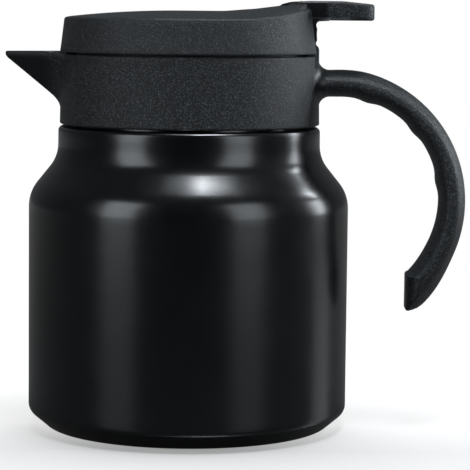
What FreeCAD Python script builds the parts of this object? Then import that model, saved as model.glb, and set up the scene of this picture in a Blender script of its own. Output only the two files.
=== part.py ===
import FreeCAD, Part
from enum import IntEnum
import math
import os
import Sketcher

# Insulated teapot: a vacuum flask with a moulded pouring head and a hinged lid.
# Millimetres. The flask axis is Z, the resting plane is Z = 0,
# the spout points along -X and the handle along +X.

doc = FreeCAD.newDocument("insulated_teapot")

# Driving dimensions

DIMENSIONS = {
    # Flask shell
    "body_radius": 58.0,
    "body_height": 85.3,
    "shell_wall": 0.6,
    "foot_lift": 0.8,
    "foot_round": 4.0,
    "foot_lip_width": 2.6,
    "bevel_width": 8.0,
    "bevel_height": 6.6,
    "bevel_round": 4.0,
    "shoulder_rise": 12.2,
    "shoulder_round": 14.0,
    "neck_blend": 9.5,
    "neck_radius": 47.3,
    "neck_rise": 12.1,
    "neck_edge_round": 1.8,
    "neck_step": 5.8,
    "tube_margin": 0.4,
    "bead_height": 0.6,
    "bead_length": 1.6,
    "bead_spacing": 2.6,
    "bead_start": 2.2,
    # Flask liner
    "vacuum_gap": 3.0,
    "liner_wall": 0.5,
    "liner_floor_gap": 5.4,
    "liner_floor_round": 8.0,
    "liner_shoulder_drop": 1.8,
    "liner_low_round": 12.0,
    "liner_neck_rise": 5.5,
    "liner_top_round": 10.0,
    "weld_gap": 0.05,
    # Base
    "pan_overlap": 1.1,
    "pan_height": 3.0,
    "evacuation_radius": 1.5,
    "seal_radius": 4.0,
    "seal_thickness": 0.8,
    "disc_gap": 6.0,
    "disc_thickness": 0.6,
    "disc_drop": 1.8,
    "pad_width": 16.3,
    "pad_clearance": 0.4,
    "getter_radius": 7.0,
    "getter_wall": 0.4,
    "getter_height": 2.8,
    "getter_offset": 25.0,
    "pellet_height": 2.0,
    "pellet_clearance": 0.2,
    # Collar
    "collar_seam": 0.7,
    "collar_setback": 0.4,
    "collar_taper": 0.5,
    "collar_height": 25.2,
    "collar_wall": 2.4,
    "collar_edge_round": 0.7,
    "deck_thickness": 2.0,
    "deck_width": 8.5,
    "ledge_height": 1.0,
    "ledge_width": 2.1,
    "mouth_ring_wall": 2.4,
    "mouth_ring_height": 5.6,
    "gasket_squeeze": 1.4,
    "gasket_width": 1.9,
    "thread_clearance": 0.3,
    "ring_start": 0.7,
    "fit_gap": 0.1,
    # Spout
    "spout_root_half_width": 13.5,
    "spout_root_depth": 2.2,
    "spout_length": 22.8,
    "spout_tip_round": 2.2,
    "spout_low_half_width": 3.0,
    "spout_low_length": 0.7,
    "spout_low_round": 1.0,
    "spout_low_drop": 0.2,
    "spout_lip": 1.1,
    "channel_setback": 1.0,
    "channel_half_width": 14.2,
    "channel_tip_wall": 3.3,
    "channel_tip_round": 1.4,
    "channel_low_half_width": 2.4,
    "channel_low_wall": 0.8,
    "channel_low_round": 0.8,
    # Hinge
    "hinge_rise": 2.1,
    "pin_radius": 1.0,
    "pin_inset": 0.3,
    "pin_press_gap": 0.02,
    "pin_running_gap": 0.05,
    "barrel_radius": 2.2,
    "knuckle_half_width": 7.6,
    "hinge_side_gap": 0.3,
    "lug_margin": 0.2,
    "lug_root_depth": 4.0,
    "knuckle_relief": 0.4,
    # Handle
    "handle_rise": 15.3,
    "handle_offset": 6.3,
    "handle_radius": 42.2,
    "handle_half_width": 10.0,
    "handle_root_half_depth": 4.85,
    "handle_grip_half_depth": 4.3,
    "handle_tip_half_depth": 5.7,
    "flare_round": 4.2,
    "flare_bite": 0.2,
    "flare_sink": 0.2,
    "finger_ridge": 0.45,
    "tip_offset": 26.1,
    "tip_drop": 40.4,
    "tip_round": 7.0,
    "tip_margin": 0.6,
    "tip_zone_height": 24.0,
    "plate_depth": 1.5,
    "plate_half_width": 19.6,
    "plate_shoulder_half_width": 15.2,
    "plate_shoulder_height": 14.2,
    "plate_shoulder_round": 9.0,
    "plate_height": 23.5,
    "plate_top_half_width": 6.5,
    "plate_top_round": 3.0,
    "plate_seam": 0.25,
    "plate_rise": 0.2,
    # Handle screws
    "handle_screw_radius": 1.4,
    "handle_screw_length": 12.8,
    "handle_screw_head_radius": 2.8,
    "handle_screw_head_height": 1.8,
    "handle_screw_spread": 5.5,
    "handle_screw_drop": 0.2,
    "screw_thread_gap": 0.05,
    "screw_pass_gap": 0.2,
    "screw_point_length": 1.6,
    "screw_head_round": 0.9,
    "screw_boss_rise": 0.8,
    "screw_boss_half_width": 9.0,
    "screw_boss_half_height": 3.5,
    "screw_boss_depth": 1.4,
    # Lid cover
    "lid_seam": 0.7,
    "lid_overhang": 0.45,
    "lid_taper": 1.55,
    "lid_side_height": 12.5,
    "lid_rim_round": 1.0,
    "lid_crown": 2.6,
    "lid_wall": 2.2,
    "lid_rib_overlap": 1.5,
    "lid_rib_height": 3.3,
    "lid_rib_thickness": 1.5,
    "ramp_start_setback": 22.2,
    "ramp_bend_setback": 11.0,
    "ramp_bend_rise": 0.5,
    "ramp_bend_round": 30.0,
    "ramp_end_overhang": 2.8,
    "ramp_end_rise": 4.8,
    "ramp_depth": 3.0,
    # Thumb lever, measured along X from the hinge
    "lever_half_width": 11.5,
    "lever_gap": 0.2,
    "lever_nose_setback": 29.2,
    "lever_nose_round": 9.0,
    "lever_nose_rise": 2.2,
    "lever_overhang": 22.0,
    "lever_end_round": 5.0,
    "lever_seat_rise": 0.3,
    "lever_top_rise": 6.5,
    "crown_start_setback": 1.2,
    "crown_end_overhang": 10.8,
    "crown_round": 24.0,
    "lever_step_setback": 8.2,
    "lever_step_rise": 5.9,
    "lever_step_round": 4.0,
    "lever_foot_setback": 12.7,
    "lever_foot_rise": 4.3,
    "lever_foot_round": 3.0,
    "lever_end_drop": 1.1,
    "lever_edge_round": 1.1,
    "lever_under_drop": 0.4,
    "apron_inset": 1.0,
    "apron_low_outset": 1.4,
    "apron_top_outset": 0.8,
    "apron_blend": 1.5,
    "apron_clearance": 0.8,
    # Lever screws
    "lever_screw_radius": 1.2,
    "lever_screw_length": 6.0,
    "lever_screw_head_radius": 2.4,
    "lever_screw_head_height": 1.6,
    "lever_screw_setback": 8.2,
    "lever_screw_spread": 6.0,
    # Lid plug, its foam and its gasket
    "plug_gap": 3.0,
    "plug_wall": 2.0,
    "plug_flange_gap": 0.84,
    "plug_flange_thickness": 2.0,
    "plug_relief_gap": 0.6,
    "plug_relief_margin": 2.3,
    "plug_edge_round": 0.8,
    "lid_gasket_margin": 0.4,
    "lid_gasket_thickness": 1.0,
    "seat_gap": 0.3,
    "foam_clearance": 0.4,
    "foam_headroom": 2.5,
    # Strainer
    "strainer_flange_gap": 0.3,
    "strainer_flange_thickness": 1.0,
    "strainer_tube_gap": 0.3,
    "strainer_tube_wall": 1.0,
    "strainer_tube_drop": 13.4,
    "basket_gap": 0.05,
    "basket_wall": 0.4,
    "basket_top_drop": 2.4,
    "basket_depth": 61.0,
    "basket_floor_round": 4.0,
    "slot_width": 1.6,
    "slot_height": 7.0,
    "slot_spacing": 9.4,
    "slot_start": 7.0,
    # Cuts
    "overrun": 2.0,
}

# Counts
THREAD_BEADS = 2
SLOT_ROWS = 4
SLOT_COLUMNS = 24
HANDLE_RIDGES = 3
STEPS_PER_RIDGE = 6

# Angles in degrees and shares of the sizes that they follow
TURN = 360.0
RIDGE_PITCH = 30.9
FIRST_RIDGE_ANGLE = 72.5
GRIP_ANGLE = 45.0
TIP_ANGLE = -60.0
SIDE_SHARE = 0.87
EDGE_SHARE = 0.5
FLARE_SHARES = (0.0, 0.08, 0.2, 0.4, 0.68, 1.0)
LUG_ROUND_SHARE = 0.97
BEAD_SLOPE_SHARE = 0.25
CROWN_MARGIN_SHARE = 3.0
RIDGE_SHARPNESS = 3

sheet = doc.addObject("Spreadsheet::Sheet", "Sizes")
for row, (alias, number) in enumerate(DIMENSIONS.items(), start=1):
    sheet.set(f"A{row}", alias)
    sheet.set(f"B{row}", str(number))
    sheet.setAlias(f"B{row}", alias)
doc.recompute()


class Size:
    """A length with its number and the sheet formula that it comes from."""

    def __init__(self, value, formula):
        self.value = value
        self.formula = formula

    def join(self, other, sign, value):
        return Size(value, f"({self.formula} {sign} {as_size(other).formula})")

    def __add__(self, other):
        return self.join(other, "+", self.value + as_size(other).value)

    def __sub__(self, other):
        return self.join(other, "-", self.value - as_size(other).value)

    def __mul__(self, other):
        return self.join(other, "*", self.value * as_size(other).value)

    def __truediv__(self, other):
        return self.join(other, "/", self.value / as_size(other).value)

    def __neg__(self):
        return as_size(0) - self


def as_size(number):
    """A plain number as a Size; a Size stays as it is."""
    if isinstance(number, Size):
        return number
    return Size(float(number), repr(float(number)))


def square_root(size):
    return Size(math.sqrt(size.value), f"sqrt({size.formula})")


def named(alias):
    return Size(float(sheet.get(alias)), f"Sizes.{alias}")


class Dimensions:
    """Every cell of the sheet as an attribute."""


sizes = Dimensions()
for alias in DIMENSIONS:
    setattr(sizes, alias, named(alias))

ZERO = as_size(0)


class Spot(IntEnum):
    """How a sketch numbers its origin, its axes and the two ends of an edge."""

    ORIGIN = -1
    X_AXIS = -1
    Y_AXIS = -2
    START = 1
    END = 2


# Helpers that draw and place

def bind(thing, prop, size):
    """Ties a property to the sheet."""
    thing.setExpression(prop, as_size(size).formula)


def place(thing, x=ZERO, y=ZERO, z=ZERO):
    for axis, size in (("x", x), ("y", y), ("z", z)):
        bind(thing, f"Placement.Base.{axis}", size)
    return thing


def origin_plane(body, role):
    return next(feature for feature in body.Origin.OriginFeatures if feature.Role == role)


def corner_arc(before, corner, after, radius):
    """The arc that rounds a corner, and whether it runs against the outline."""
    back = (before - corner).normalize()
    ahead = (after - corner).normalize()
    half_angle = back.getAngle(ahead) / 2
    trim = radius / math.tan(half_angle)
    bisector = (back + ahead).normalize()
    centre = corner + bisector * (radius / math.sin(half_angle))
    start = corner + back * trim
    end = corner + ahead * trim
    against = back.cross(ahead).z > 0
    first, last = (end, start) if against else (start, end)
    circle = Part.Circle(centre, FreeCAD.Vector(0, 0, 1), radius)
    arc = Part.ArcOfCircle(circle, circle.parameter(first), circle.parameter(last))
    return start, end, arc, against


def fix_point(sketch, geometry, position, x, y):
    """Ties a sketch point to its two sizes."""
    for kind, size, axis in (("DistanceX", x, Spot.Y_AXIS), ("DistanceY", y, Spot.X_AXIS)):
        size = as_size(size)
        if size.formula == ZERO.formula:
            sketch.addConstraint(Sketcher.Constraint("PointOnObject", geometry, position, axis))
            continue
        index = sketch.addConstraint(
            Sketcher.Constraint(kind, Spot.ORIGIN, Spot.START, geometry, position, size.value))
        sketch.setExpression(f"Constraints[{index}]", size.formula)


def outline(sketch, corners):
    """Draws a closed outline: each corner is (x, y) or (x, y, round)."""
    points = [FreeCAD.Vector(as_size(corner[0]).value, as_size(corner[1]).value, 0) for corner in corners]
    count = len(corners)
    starts = list(points)
    ends = list(points)
    arcs = {}
    for number, corner in enumerate(corners):
        if len(corner) == 3:
            start, end, arc, against = corner_arc(
                points[number - 1], points[number], points[(number + 1) % count], corner[2].value)
            ends[number] = start
            starts[number] = end
            arcs[number] = (arc, against)
    lines = []
    for number in range(count):
        segment = Part.LineSegment(starts[number], ends[(number + 1) % count])
        lines.append(sketch.addGeometry(segment, False))
    for number, corner in enumerate(corners):
        incoming = lines[number - 1]
        outgoing = lines[number]
        if number not in arcs:
            sketch.addConstraint(Sketcher.Constraint("Coincident", incoming, Spot.END, outgoing, Spot.START))
            fix_point(sketch, outgoing, Spot.START, corner[0], corner[1])
            continue
        arc, against = arcs[number]
        rounding = sketch.addGeometry(arc, False)
        first, last = (Spot.END, Spot.START) if against else (Spot.START, Spot.END)
        sketch.addConstraint(Sketcher.Constraint("Tangent", incoming, Spot.END, rounding, first))
        sketch.addConstraint(Sketcher.Constraint("Tangent", outgoing, Spot.START, rounding, last))
        index = sketch.addConstraint(Sketcher.Constraint("Radius", rounding, corner[2].value))
        sketch.setExpression(f"Constraints[{index}]", corner[2].formula)
        mark = sketch.addGeometry(Part.Point(points[number]), True)
        sketch.addConstraint(Sketcher.Constraint("PointOnObject", mark, Spot.START, incoming))
        sketch.addConstraint(Sketcher.Constraint("PointOnObject", mark, Spot.START, outgoing))
        fix_point(sketch, mark, Spot.START, corner[0], corner[1])


def sketch_on(body, role, name, corners, offset=ZERO):
    sketch = body.newObject("Sketcher::SketchObject", name)
    sketch.AttachmentSupport = [(origin_plane(body, role), "")]
    sketch.MapMode = "FlatFace"
    bind(sketch, "AttachmentOffset.Base.z", offset)
    outline(sketch, corners)
    return sketch


def new_body(name):
    body = doc.addObject("PartDesign::Body", name)
    body.Label = name
    return body


def turned(name, corners):
    """A body turned about Z from an outline of (radius, height) corners."""
    body = new_body(name)
    sketch = sketch_on(body, "XZ_Plane", name + "_outline", corners)
    spin = body.newObject("PartDesign::Revolution", name + "_turn")
    spin.Profile = sketch
    spin.ReferenceAxis = (sketch, ["V_Axis"])
    spin.Angle = TURN
    return body


def padded(name, role, corners, length, offset=ZERO, symmetric=False):
    """A body drawn on an origin plane and thickened along the plane's normal."""
    body = new_body(name)
    sketch = sketch_on(body, role, name + "_outline", corners, offset)
    pad = body.newObject("PartDesign::Pad", name + "_pad")
    pad.Profile = sketch
    pad.SideType = "Symmetric" if symmetric else "One side"
    bind(pad, "Length", length)
    return body


def lofted(name, sections):
    """A body lofted upwards through level sections of (height, corners)."""
    body = new_body(name)
    sketches = []
    for number, (height, corners) in enumerate(sections, start=1):
        sketches.append(sketch_on(body, "XY_Plane", f"{name}_section_{number}", corners, height))
    loft = body.newObject("PartDesign::AdditiveLoft", name + "_loft")
    loft.Profile = sketches[0]
    loft.Sections = sketches[1:]
    loft.Ruled = True
    return body


def block(name, low, high):
    box = doc.addObject("Part::Box", name)
    box.Label = name
    for prop, start, end in zip(("Length", "Width", "Height"), low, high):
        bind(box, prop, as_size(end) - as_size(start))
    return place(box, *low)


def rod(name, radius, length, axis, x=ZERO, y=ZERO, z=ZERO):
    """A round bar that starts at its place and runs along axis."""
    bar = doc.addObject("Part::Cylinder", name)
    bar.Label = name
    bind(bar, "Radius", radius)
    bind(bar, "Height", length)
    bar.Placement.Rotation = FreeCAD.Rotation(FreeCAD.Vector(0, 0, 1), axis)
    return place(bar, x, y, z)


def combined(kind, name, shapes):
    result = doc.addObject(kind, name)
    result.Label = name
    result.Shapes = shapes
    return result


def fused(name, shapes):
    return combined("Part::MultiFuse", name, shapes)


def shared(name, shapes):
    return combined("Part::MultiCommon", name, shapes)


def cut(name, base, tools):
    result = doc.addObject("Part::Cut", name)
    result.Label = name
    result.Base = base
    result.Tool = tools[0] if len(tools) == 1 else fused(name + "_tools", tools)
    return result


def mirrored(name, source):
    """The source's twin on the other side of the plane Y = 0."""
    twin = doc.addObject("Part::Mirroring", name)
    twin.Label = name
    twin.Source = source
    twin.Normal = ALONG_Y
    return twin


def grouped(name, pieces):
    group = doc.addObject("Part::Compound", name)
    group.Label = name
    group.Links = pieces
    return group


ALONG_X = FreeCAD.Vector(1, 0, 0)
ALONG_Y = FreeCAD.Vector(0, 1, 0)
ALONG_Z = FreeCAD.Vector(0, 0, 1)


def wall_shift(thickness, run, rise):
    """How far a slope's corner moves along the axis when the slope is offset by thickness."""
    return thickness * run / (square_root(run * run + rise * rise) + rise)


# Levels and radii that the pieces share

foot_radius = sizes.body_radius - sizes.bevel_width
foot_lip_radius = foot_radius - sizes.foot_lip_width
shoulder_top = sizes.body_height + sizes.shoulder_rise
neck_top = shoulder_top + sizes.neck_rise
tube_radius = sizes.neck_radius - sizes.neck_step
tube_inner = tube_radius - sizes.shell_wall
tube_top = (neck_top + sizes.bead_start + sizes.bead_spacing * (THREAD_BEADS - 1)
            + sizes.bead_length + sizes.tube_margin)
lip_top = tube_top + sizes.shell_wall
pan_low = sizes.foot_lift + sizes.shell_wall
pan_top = sizes.pan_height + sizes.shell_wall
pan_wall_radius = foot_lip_radius - sizes.fit_gap
liner_radius = sizes.body_radius - sizes.shell_wall - sizes.vacuum_gap
liner_floor = pan_top + sizes.liner_floor_gap
liner_low = sizes.body_height - sizes.liner_shoulder_drop
liner_top = shoulder_top + sizes.liner_neck_rise
collar_low = neck_top + sizes.collar_seam
collar_top = collar_low + sizes.collar_height
collar_low_radius = sizes.neck_radius - sizes.collar_setback
collar_top_radius = collar_low_radius - sizes.collar_taper
collar_bore = collar_top_radius - sizes.collar_wall
deck_low = lip_top + sizes.gasket_squeeze
deck_top = deck_low + sizes.deck_thickness
ledge = deck_top + sizes.ledge_height
mouth_radius = collar_bore - sizes.deck_width
ledge_radius = mouth_radius + sizes.ledge_width
mouth_top = deck_top + sizes.mouth_ring_height
mouth_ring_radius = ledge_radius + sizes.mouth_ring_wall
spout_root = collar_top_radius - sizes.spout_root_depth
spout_apex = collar_top_radius + sizes.spout_length
spout_low_reach = collar_low_radius + sizes.spout_low_length
hinge_reach = collar_top_radius - sizes.barrel_radius
hinge_height = collar_top + sizes.hinge_rise
lug_inner = sizes.knuckle_half_width + sizes.hinge_side_gap
lug_outer = sizes.lever_half_width - sizes.lug_margin
lid_low = collar_top + sizes.lid_seam
lid_rim = lid_low + sizes.lid_side_height
lid_roof = lid_rim - sizes.lid_wall
lid_rib = lid_low + sizes.lid_rib_height
lid_low_radius = collar_top_radius + sizes.lid_overhang
lid_rim_radius = lid_low_radius - sizes.lid_taper
lever_seat = lid_rim + sizes.lever_seat_rise
lever_under = lid_rim - sizes.lever_under_drop
lever_screw_reach = hinge_reach - sizes.lever_screw_setback
apron_inner = hinge_reach - sizes.apron_inset
gasket_low = mouth_top + sizes.seat_gap
plug_low = gasket_low + sizes.lid_gasket_thickness
plug_radius = collar_bore - sizes.plug_gap
plug_relief = hinge_reach - sizes.barrel_radius - sizes.plug_relief_gap
handle_level = collar_low + sizes.handle_rise
handle_reach = collar_low_radius + sizes.handle_offset
handle_height = handle_level - sizes.handle_radius
flare_start = collar_top_radius - sizes.flare_sink
screw_level = handle_level - sizes.handle_screw_drop
screw_seat = collar_bore - sizes.screw_boss_rise


# Flask shell and liner

def thread_corners(radius, height, swell):
    """Rounded-off thread rings on the steel tube, from its foot upwards."""
    corners = []
    for turn in range(THREAD_BEADS):
        low = neck_top + sizes.bead_start + sizes.bead_spacing * turn
        corners += [
            (radius, low - swell),
            (radius + height, low + sizes.bead_length * BEAD_SLOPE_SHARE - swell),
            (radius + height, low + sizes.bead_length * (1 - BEAD_SLOPE_SHARE) + swell),
            (radius, low + sizes.bead_length + swell),
        ]
    return corners


def make_outer_shell():
    run = sizes.body_radius - sizes.neck_radius
    drop = wall_shift(sizes.shell_wall, run, sizes.shoulder_rise)
    foot_rise = sizes.bevel_height - sizes.foot_lift
    lift = wall_shift(sizes.shell_wall, sizes.bevel_width, foot_rise)
    foot_shift = wall_shift(sizes.shell_wall, foot_rise, sizes.bevel_width)
    inner = sizes.body_radius - sizes.shell_wall
    inner_neck = sizes.neck_radius - sizes.shell_wall
    outside = [
        (foot_lip_radius, sizes.foot_lift),
        (foot_radius, sizes.foot_lift, sizes.foot_round),
        (sizes.body_radius, sizes.bevel_height, sizes.bevel_round),
        (sizes.body_radius, sizes.body_height, sizes.shoulder_round),
        (sizes.neck_radius, shoulder_top, sizes.neck_blend),
        (sizes.neck_radius, neck_top, sizes.neck_edge_round),
        (tube_radius, neck_top),
    ]
    inside = [
        (tube_radius, tube_top),
        (tube_inner, tube_top),
        (tube_inner, neck_top - sizes.shell_wall),
        (inner_neck, neck_top - sizes.shell_wall, sizes.neck_edge_round - sizes.shell_wall),
        (inner_neck, shoulder_top - drop, sizes.neck_blend + sizes.shell_wall),
        (inner, sizes.body_height - drop, sizes.shoulder_round - sizes.shell_wall),
        (inner, sizes.bevel_height + lift, sizes.bevel_round - sizes.shell_wall),
        (foot_radius - foot_shift, pan_low, sizes.foot_round - sizes.shell_wall),
        (foot_lip_radius, pan_low),
    ]
    thread = thread_corners(tube_radius, sizes.bead_height, ZERO)
    return turned("outer_shell", outside + thread + inside)


def make_inner_flask():
    neck = tube_inner - sizes.weld_gap
    bore = neck - sizes.liner_wall
    inside = liner_radius - sizes.liner_wall
    drop = wall_shift(sizes.liner_wall, liner_radius - neck, liner_top - liner_low)
    return turned("inner_flask", [
        (ZERO, liner_floor),
        (liner_radius, liner_floor, sizes.liner_floor_round),
        (liner_radius, liner_low, sizes.liner_low_round),
        (neck, liner_top, sizes.liner_top_round),
        (neck, tube_top),
        (tube_radius, tube_top),
        (tube_radius, lip_top),
        (bore, lip_top),
        (bore, liner_top - drop, sizes.liner_top_round + sizes.liner_wall),
        (inside, liner_low - drop, sizes.liner_low_round - sizes.liner_wall),
        (inside, liner_floor + sizes.liner_wall, sizes.liner_floor_round - sizes.liner_wall),
        (ZERO, liner_floor + sizes.liner_wall),
    ])


# Base pieces

def make_base_pan():
    inner_wall = pan_wall_radius - sizes.shell_wall
    flange = foot_lip_radius + sizes.pan_overlap
    return turned("base_pan", [
        (sizes.evacuation_radius, sizes.pan_height),
        (inner_wall, sizes.pan_height),
        (inner_wall, pan_low),
        (flange, pan_low),
        (flange, pan_low + sizes.shell_wall),
        (pan_wall_radius, pan_low + sizes.shell_wall),
        (pan_wall_radius, pan_top),
        (sizes.evacuation_radius, pan_top),
    ])


def disc_corners(radius, low, high):
    return [(ZERO, low), (radius, low), (radius, high), (ZERO, high)]


def ring_corners(inner, outer, low, high):
    return [(inner, low), (outer, low), (outer, high), (inner, high)]


def cup_corners(radius, wall, low, floor_top, high):
    return [
        (ZERO, low),
        (radius, low),
        (radius, high),
        (radius - wall, high),
        (radius - wall, floor_top),
        (ZERO, floor_top),
    ]


def make_base_pieces():
    disc_low = sizes.pan_height - sizes.disc_drop
    disc_high = disc_low + sizes.disc_thickness
    pad_outer = pan_wall_radius - sizes.shell_wall - sizes.pad_clearance
    disc_radius = pad_outer - sizes.pad_width - sizes.disc_gap
    cup = turned("getter_cup", cup_corners(
        sizes.getter_radius, sizes.getter_wall, ZERO, sizes.getter_wall, sizes.getter_height))
    pellet = turned("getter_pellet", disc_corners(
        sizes.getter_radius - sizes.getter_wall - sizes.pellet_clearance, ZERO, sizes.pellet_height))
    return [
        make_base_pan(),
        place(cup, x=sizes.getter_offset, z=pan_top),
        place(pellet, x=sizes.getter_offset, z=pan_top + sizes.getter_wall),
        turned("vacuum_seal", disc_corners(
            sizes.seal_radius, sizes.pan_height - sizes.seal_thickness, sizes.pan_height)),
        turned("base_disc", cup_corners(
            disc_radius, sizes.disc_thickness, disc_low, disc_high, sizes.pan_height)),
        turned("base_pad", cup_corners(
            pad_outer, sizes.pad_width, ZERO, disc_low, sizes.pan_height)),
    ]


# Pouring head

def triangle(root_reach, half_width, apex_reach, tip_round):
    """The level section of a spout that points along -X."""
    return [(-root_reach, -half_width), (-root_reach, half_width), (-apex_reach, ZERO, tip_round)]


def spout_form():
    low = triangle(spout_root, sizes.spout_low_half_width, spout_low_reach, sizes.spout_low_round)
    top = triangle(spout_root, sizes.spout_root_half_width, spout_apex, sizes.spout_tip_round)
    return lofted("spout_form", [
        (deck_low - sizes.spout_low_drop, low),
        (collar_top - sizes.spout_lip, top),
        (collar_top, top),
    ])


def spout_channel():
    back = mouth_ring_radius + sizes.channel_setback
    low_tip = spout_low_reach - sizes.channel_low_wall
    top_tip = spout_apex - sizes.channel_tip_wall
    low = triangle(back, sizes.channel_low_half_width, low_tip, sizes.channel_low_round)
    top = triangle(back, sizes.channel_half_width, top_tip, sizes.channel_tip_round)
    return lofted("spout_channel", [(deck_top, low), (collar_top + sizes.overrun, top)])


def collar_ring():
    return turned("collar_ring", [
        (collar_low_radius, collar_low, sizes.collar_edge_round),
        (collar_top_radius, collar_top, sizes.collar_edge_round),
        (collar_bore, collar_top),
        (collar_bore, deck_top),
        (mouth_ring_radius, deck_top),
        (mouth_ring_radius, mouth_top),
        (ledge_radius, mouth_top),
        (ledge_radius, ledge),
        (mouth_radius, ledge),
        (mouth_radius, deck_low),
        (collar_bore, deck_low),
        (collar_bore, collar_low),
    ])


def hinge_lug():
    front = hinge_reach - sizes.barrel_radius
    rear = hinge_reach + sizes.barrel_radius
    top = hinge_height + sizes.barrel_radius
    tip_round = sizes.barrel_radius * LUG_ROUND_SHARE
    foot = collar_top - sizes.lug_root_depth
    corners = [(front, foot), (rear, foot), (rear, top, tip_round), (front, top, tip_round)]
    return padded("hinge_lug", "XZ_Plane", corners, lug_outer - lug_inner, lug_inner)


def arch_prism(name, grow):
    """An arch drawn on the rear of the collar and pushed through its wall."""
    low = collar_low - sizes.overrun
    shoulder = collar_low + sizes.plate_shoulder_height
    side = sizes.plate_shoulder_half_width + grow
    foot = sizes.plate_half_width + grow
    peak = sizes.plate_top_half_width + grow
    top = collar_low + sizes.plate_height + grow
    corners = [
        (-foot, low),
        (foot, low),
        (foot, collar_low),
        (side, shoulder + grow, sizes.plate_shoulder_round),
        (peak, top, sizes.plate_top_round),
        (-peak, top, sizes.plate_top_round),
        (-side, shoulder + grow, sizes.plate_shoulder_round),
        (-foot, collar_low),
    ]
    return padded(name, "YZ_Plane", corners, collar_low_radius + sizes.overrun)


def plate_band(name, depth, rise):
    """A band that follows the collar's outer face from a depth below it to a rise above it."""
    return turned(name, [
        (collar_low_radius - depth, collar_low),
        (collar_low_radius + rise, collar_low),
        (collar_top_radius + rise, collar_top),
        (collar_top_radius - depth, collar_top),
    ])


def screw_tool(name, radius, start, length, side):
    return rod(name, radius, length, ALONG_X, start, side, screw_level)


def both_sides(size):
    return (("near", -size), ("far", size))


def make_collar():
    lug = hinge_lug()
    boss = block(
        "screw_boss",
        (screw_seat, -sizes.screw_boss_half_width, screw_level - sizes.screw_boss_half_height),
        (screw_seat + sizes.screw_boss_depth, sizes.screw_boss_half_width,
         screw_level + sizes.screw_boss_half_height))
    form = fused("collar_form", [
        collar_ring(), spout_form(), lug, mirrored("hinge_lug_far", lug), boss])
    socket = shared("handle_socket", [
        arch_prism("socket_arch", sizes.plate_seam),
        plate_band("socket_band", sizes.plate_depth + sizes.fit_gap, sizes.overrun)])
    relief = rod(
        "knuckle_relief", sizes.barrel_radius + sizes.knuckle_relief, lug_inner * 2, ALONG_Y,
        hinge_reach, -lug_inner, hinge_height)
    pin_hole = rod(
        "lug_pin_hole", sizes.pin_radius + sizes.pin_press_gap, (lug_outer + sizes.overrun) * 2, ALONG_Y,
        hinge_reach, -(lug_outer + sizes.overrun), hinge_height)
    screw_holes = [
        screw_tool(f"collar_screw_hole_{side}", sizes.handle_screw_radius + sizes.screw_pass_gap,
                   screw_seat - sizes.overrun, sizes.collar_wall + sizes.overrun * 2, y)
        for side, y in both_sides(sizes.handle_screw_spread)]
    return cut("collar", form, [spout_channel(), socket, relief, pin_hole] + screw_holes)


def make_thread_ring():
    bore = tube_radius + sizes.thread_clearance
    grooves = thread_corners(bore, sizes.bead_height, sizes.thread_clearance)
    low = collar_low + sizes.ring_start
    outer = collar_bore - sizes.fit_gap
    back = [(bore, deck_low), (outer, deck_low), (outer, low)]
    return turned("thread_ring", [(bore, low)] + grooves + back)


def make_neck_gasket():
    return turned("neck_gasket", ring_corners(
        tube_radius - sizes.gasket_width, tube_radius, lip_top, deck_low))


# Handle

def oval(middle, outward, half_width, outer_depth, inner_depth):
    """A closed section with a soft ridge along each side."""
    def at(width_share, depth_share):
        depth = outer_depth if depth_share > 0 else inner_depth
        return middle + ALONG_Y * (half_width * width_share) + outward * (depth * depth_share)
    edges = [
        Part.Arc(at(-SIDE_SHARE, EDGE_SHARE), at(0, 1), at(SIDE_SHARE, EDGE_SHARE)),
        Part.Arc(at(SIDE_SHARE, EDGE_SHARE), at(1, 0), at(SIDE_SHARE, -EDGE_SHARE)),
        Part.Arc(at(SIDE_SHARE, -EDGE_SHARE), at(0, -1), at(-SIDE_SHARE, -EDGE_SHARE)),
        Part.Arc(at(-SIDE_SHARE, -EDGE_SHARE), at(-1, 0), at(-SIDE_SHARE, EDGE_SHARE)),
    ]
    return Part.Wire([edge.toShape() for edge in edges])


def root_section(reach):
    """A section of the level root, which spreads up and down in a hollow rounding at the collar."""
    radius = sizes.flare_round.value
    left = radius - sizes.flare_bite.value - max(reach - flare_start.value, 0)
    depth = sizes.handle_root_half_depth.value + radius - math.sqrt(radius ** 2 - left ** 2)
    middle = FreeCAD.Vector(reach, 0, handle_level.value)
    return oval(middle, ALONG_Z, sizes.handle_half_width.value, depth, depth)


def root_sections():
    run = (sizes.flare_round - sizes.flare_bite).value
    return [root_section(flare_start.value + run * share) for share in FLARE_SHARES]


def grip_half_depth(angle):
    """Half the handle's thickness: root, then grip, then the heavier tip."""
    grip = sizes.handle_grip_half_depth.value
    if angle > GRIP_ANGLE:
        share = (angle - GRIP_ANGLE) / (TURN / 4 - GRIP_ANGLE)
        return grip + (sizes.handle_root_half_depth.value - grip) * share ** 2
    share = (GRIP_ANGLE - angle) / (GRIP_ANGLE - TIP_ANGLE)
    return grip + (sizes.handle_tip_half_depth.value - grip) * share ** 2


def ridge_height(angle):
    """Shallow ridges between the fingers on the inner side."""
    phase = (FIRST_RIDGE_ANGLE - angle) / RIDGE_PITCH
    if phase < -1 / 2 or phase > HANDLE_RIDGES - 1 / 2:
        return 0.0
    wave = (1 + math.cos(2 * math.pi * phase)) / 2
    return sizes.finger_ridge.value * wave ** RIDGE_SHARPNESS


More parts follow.
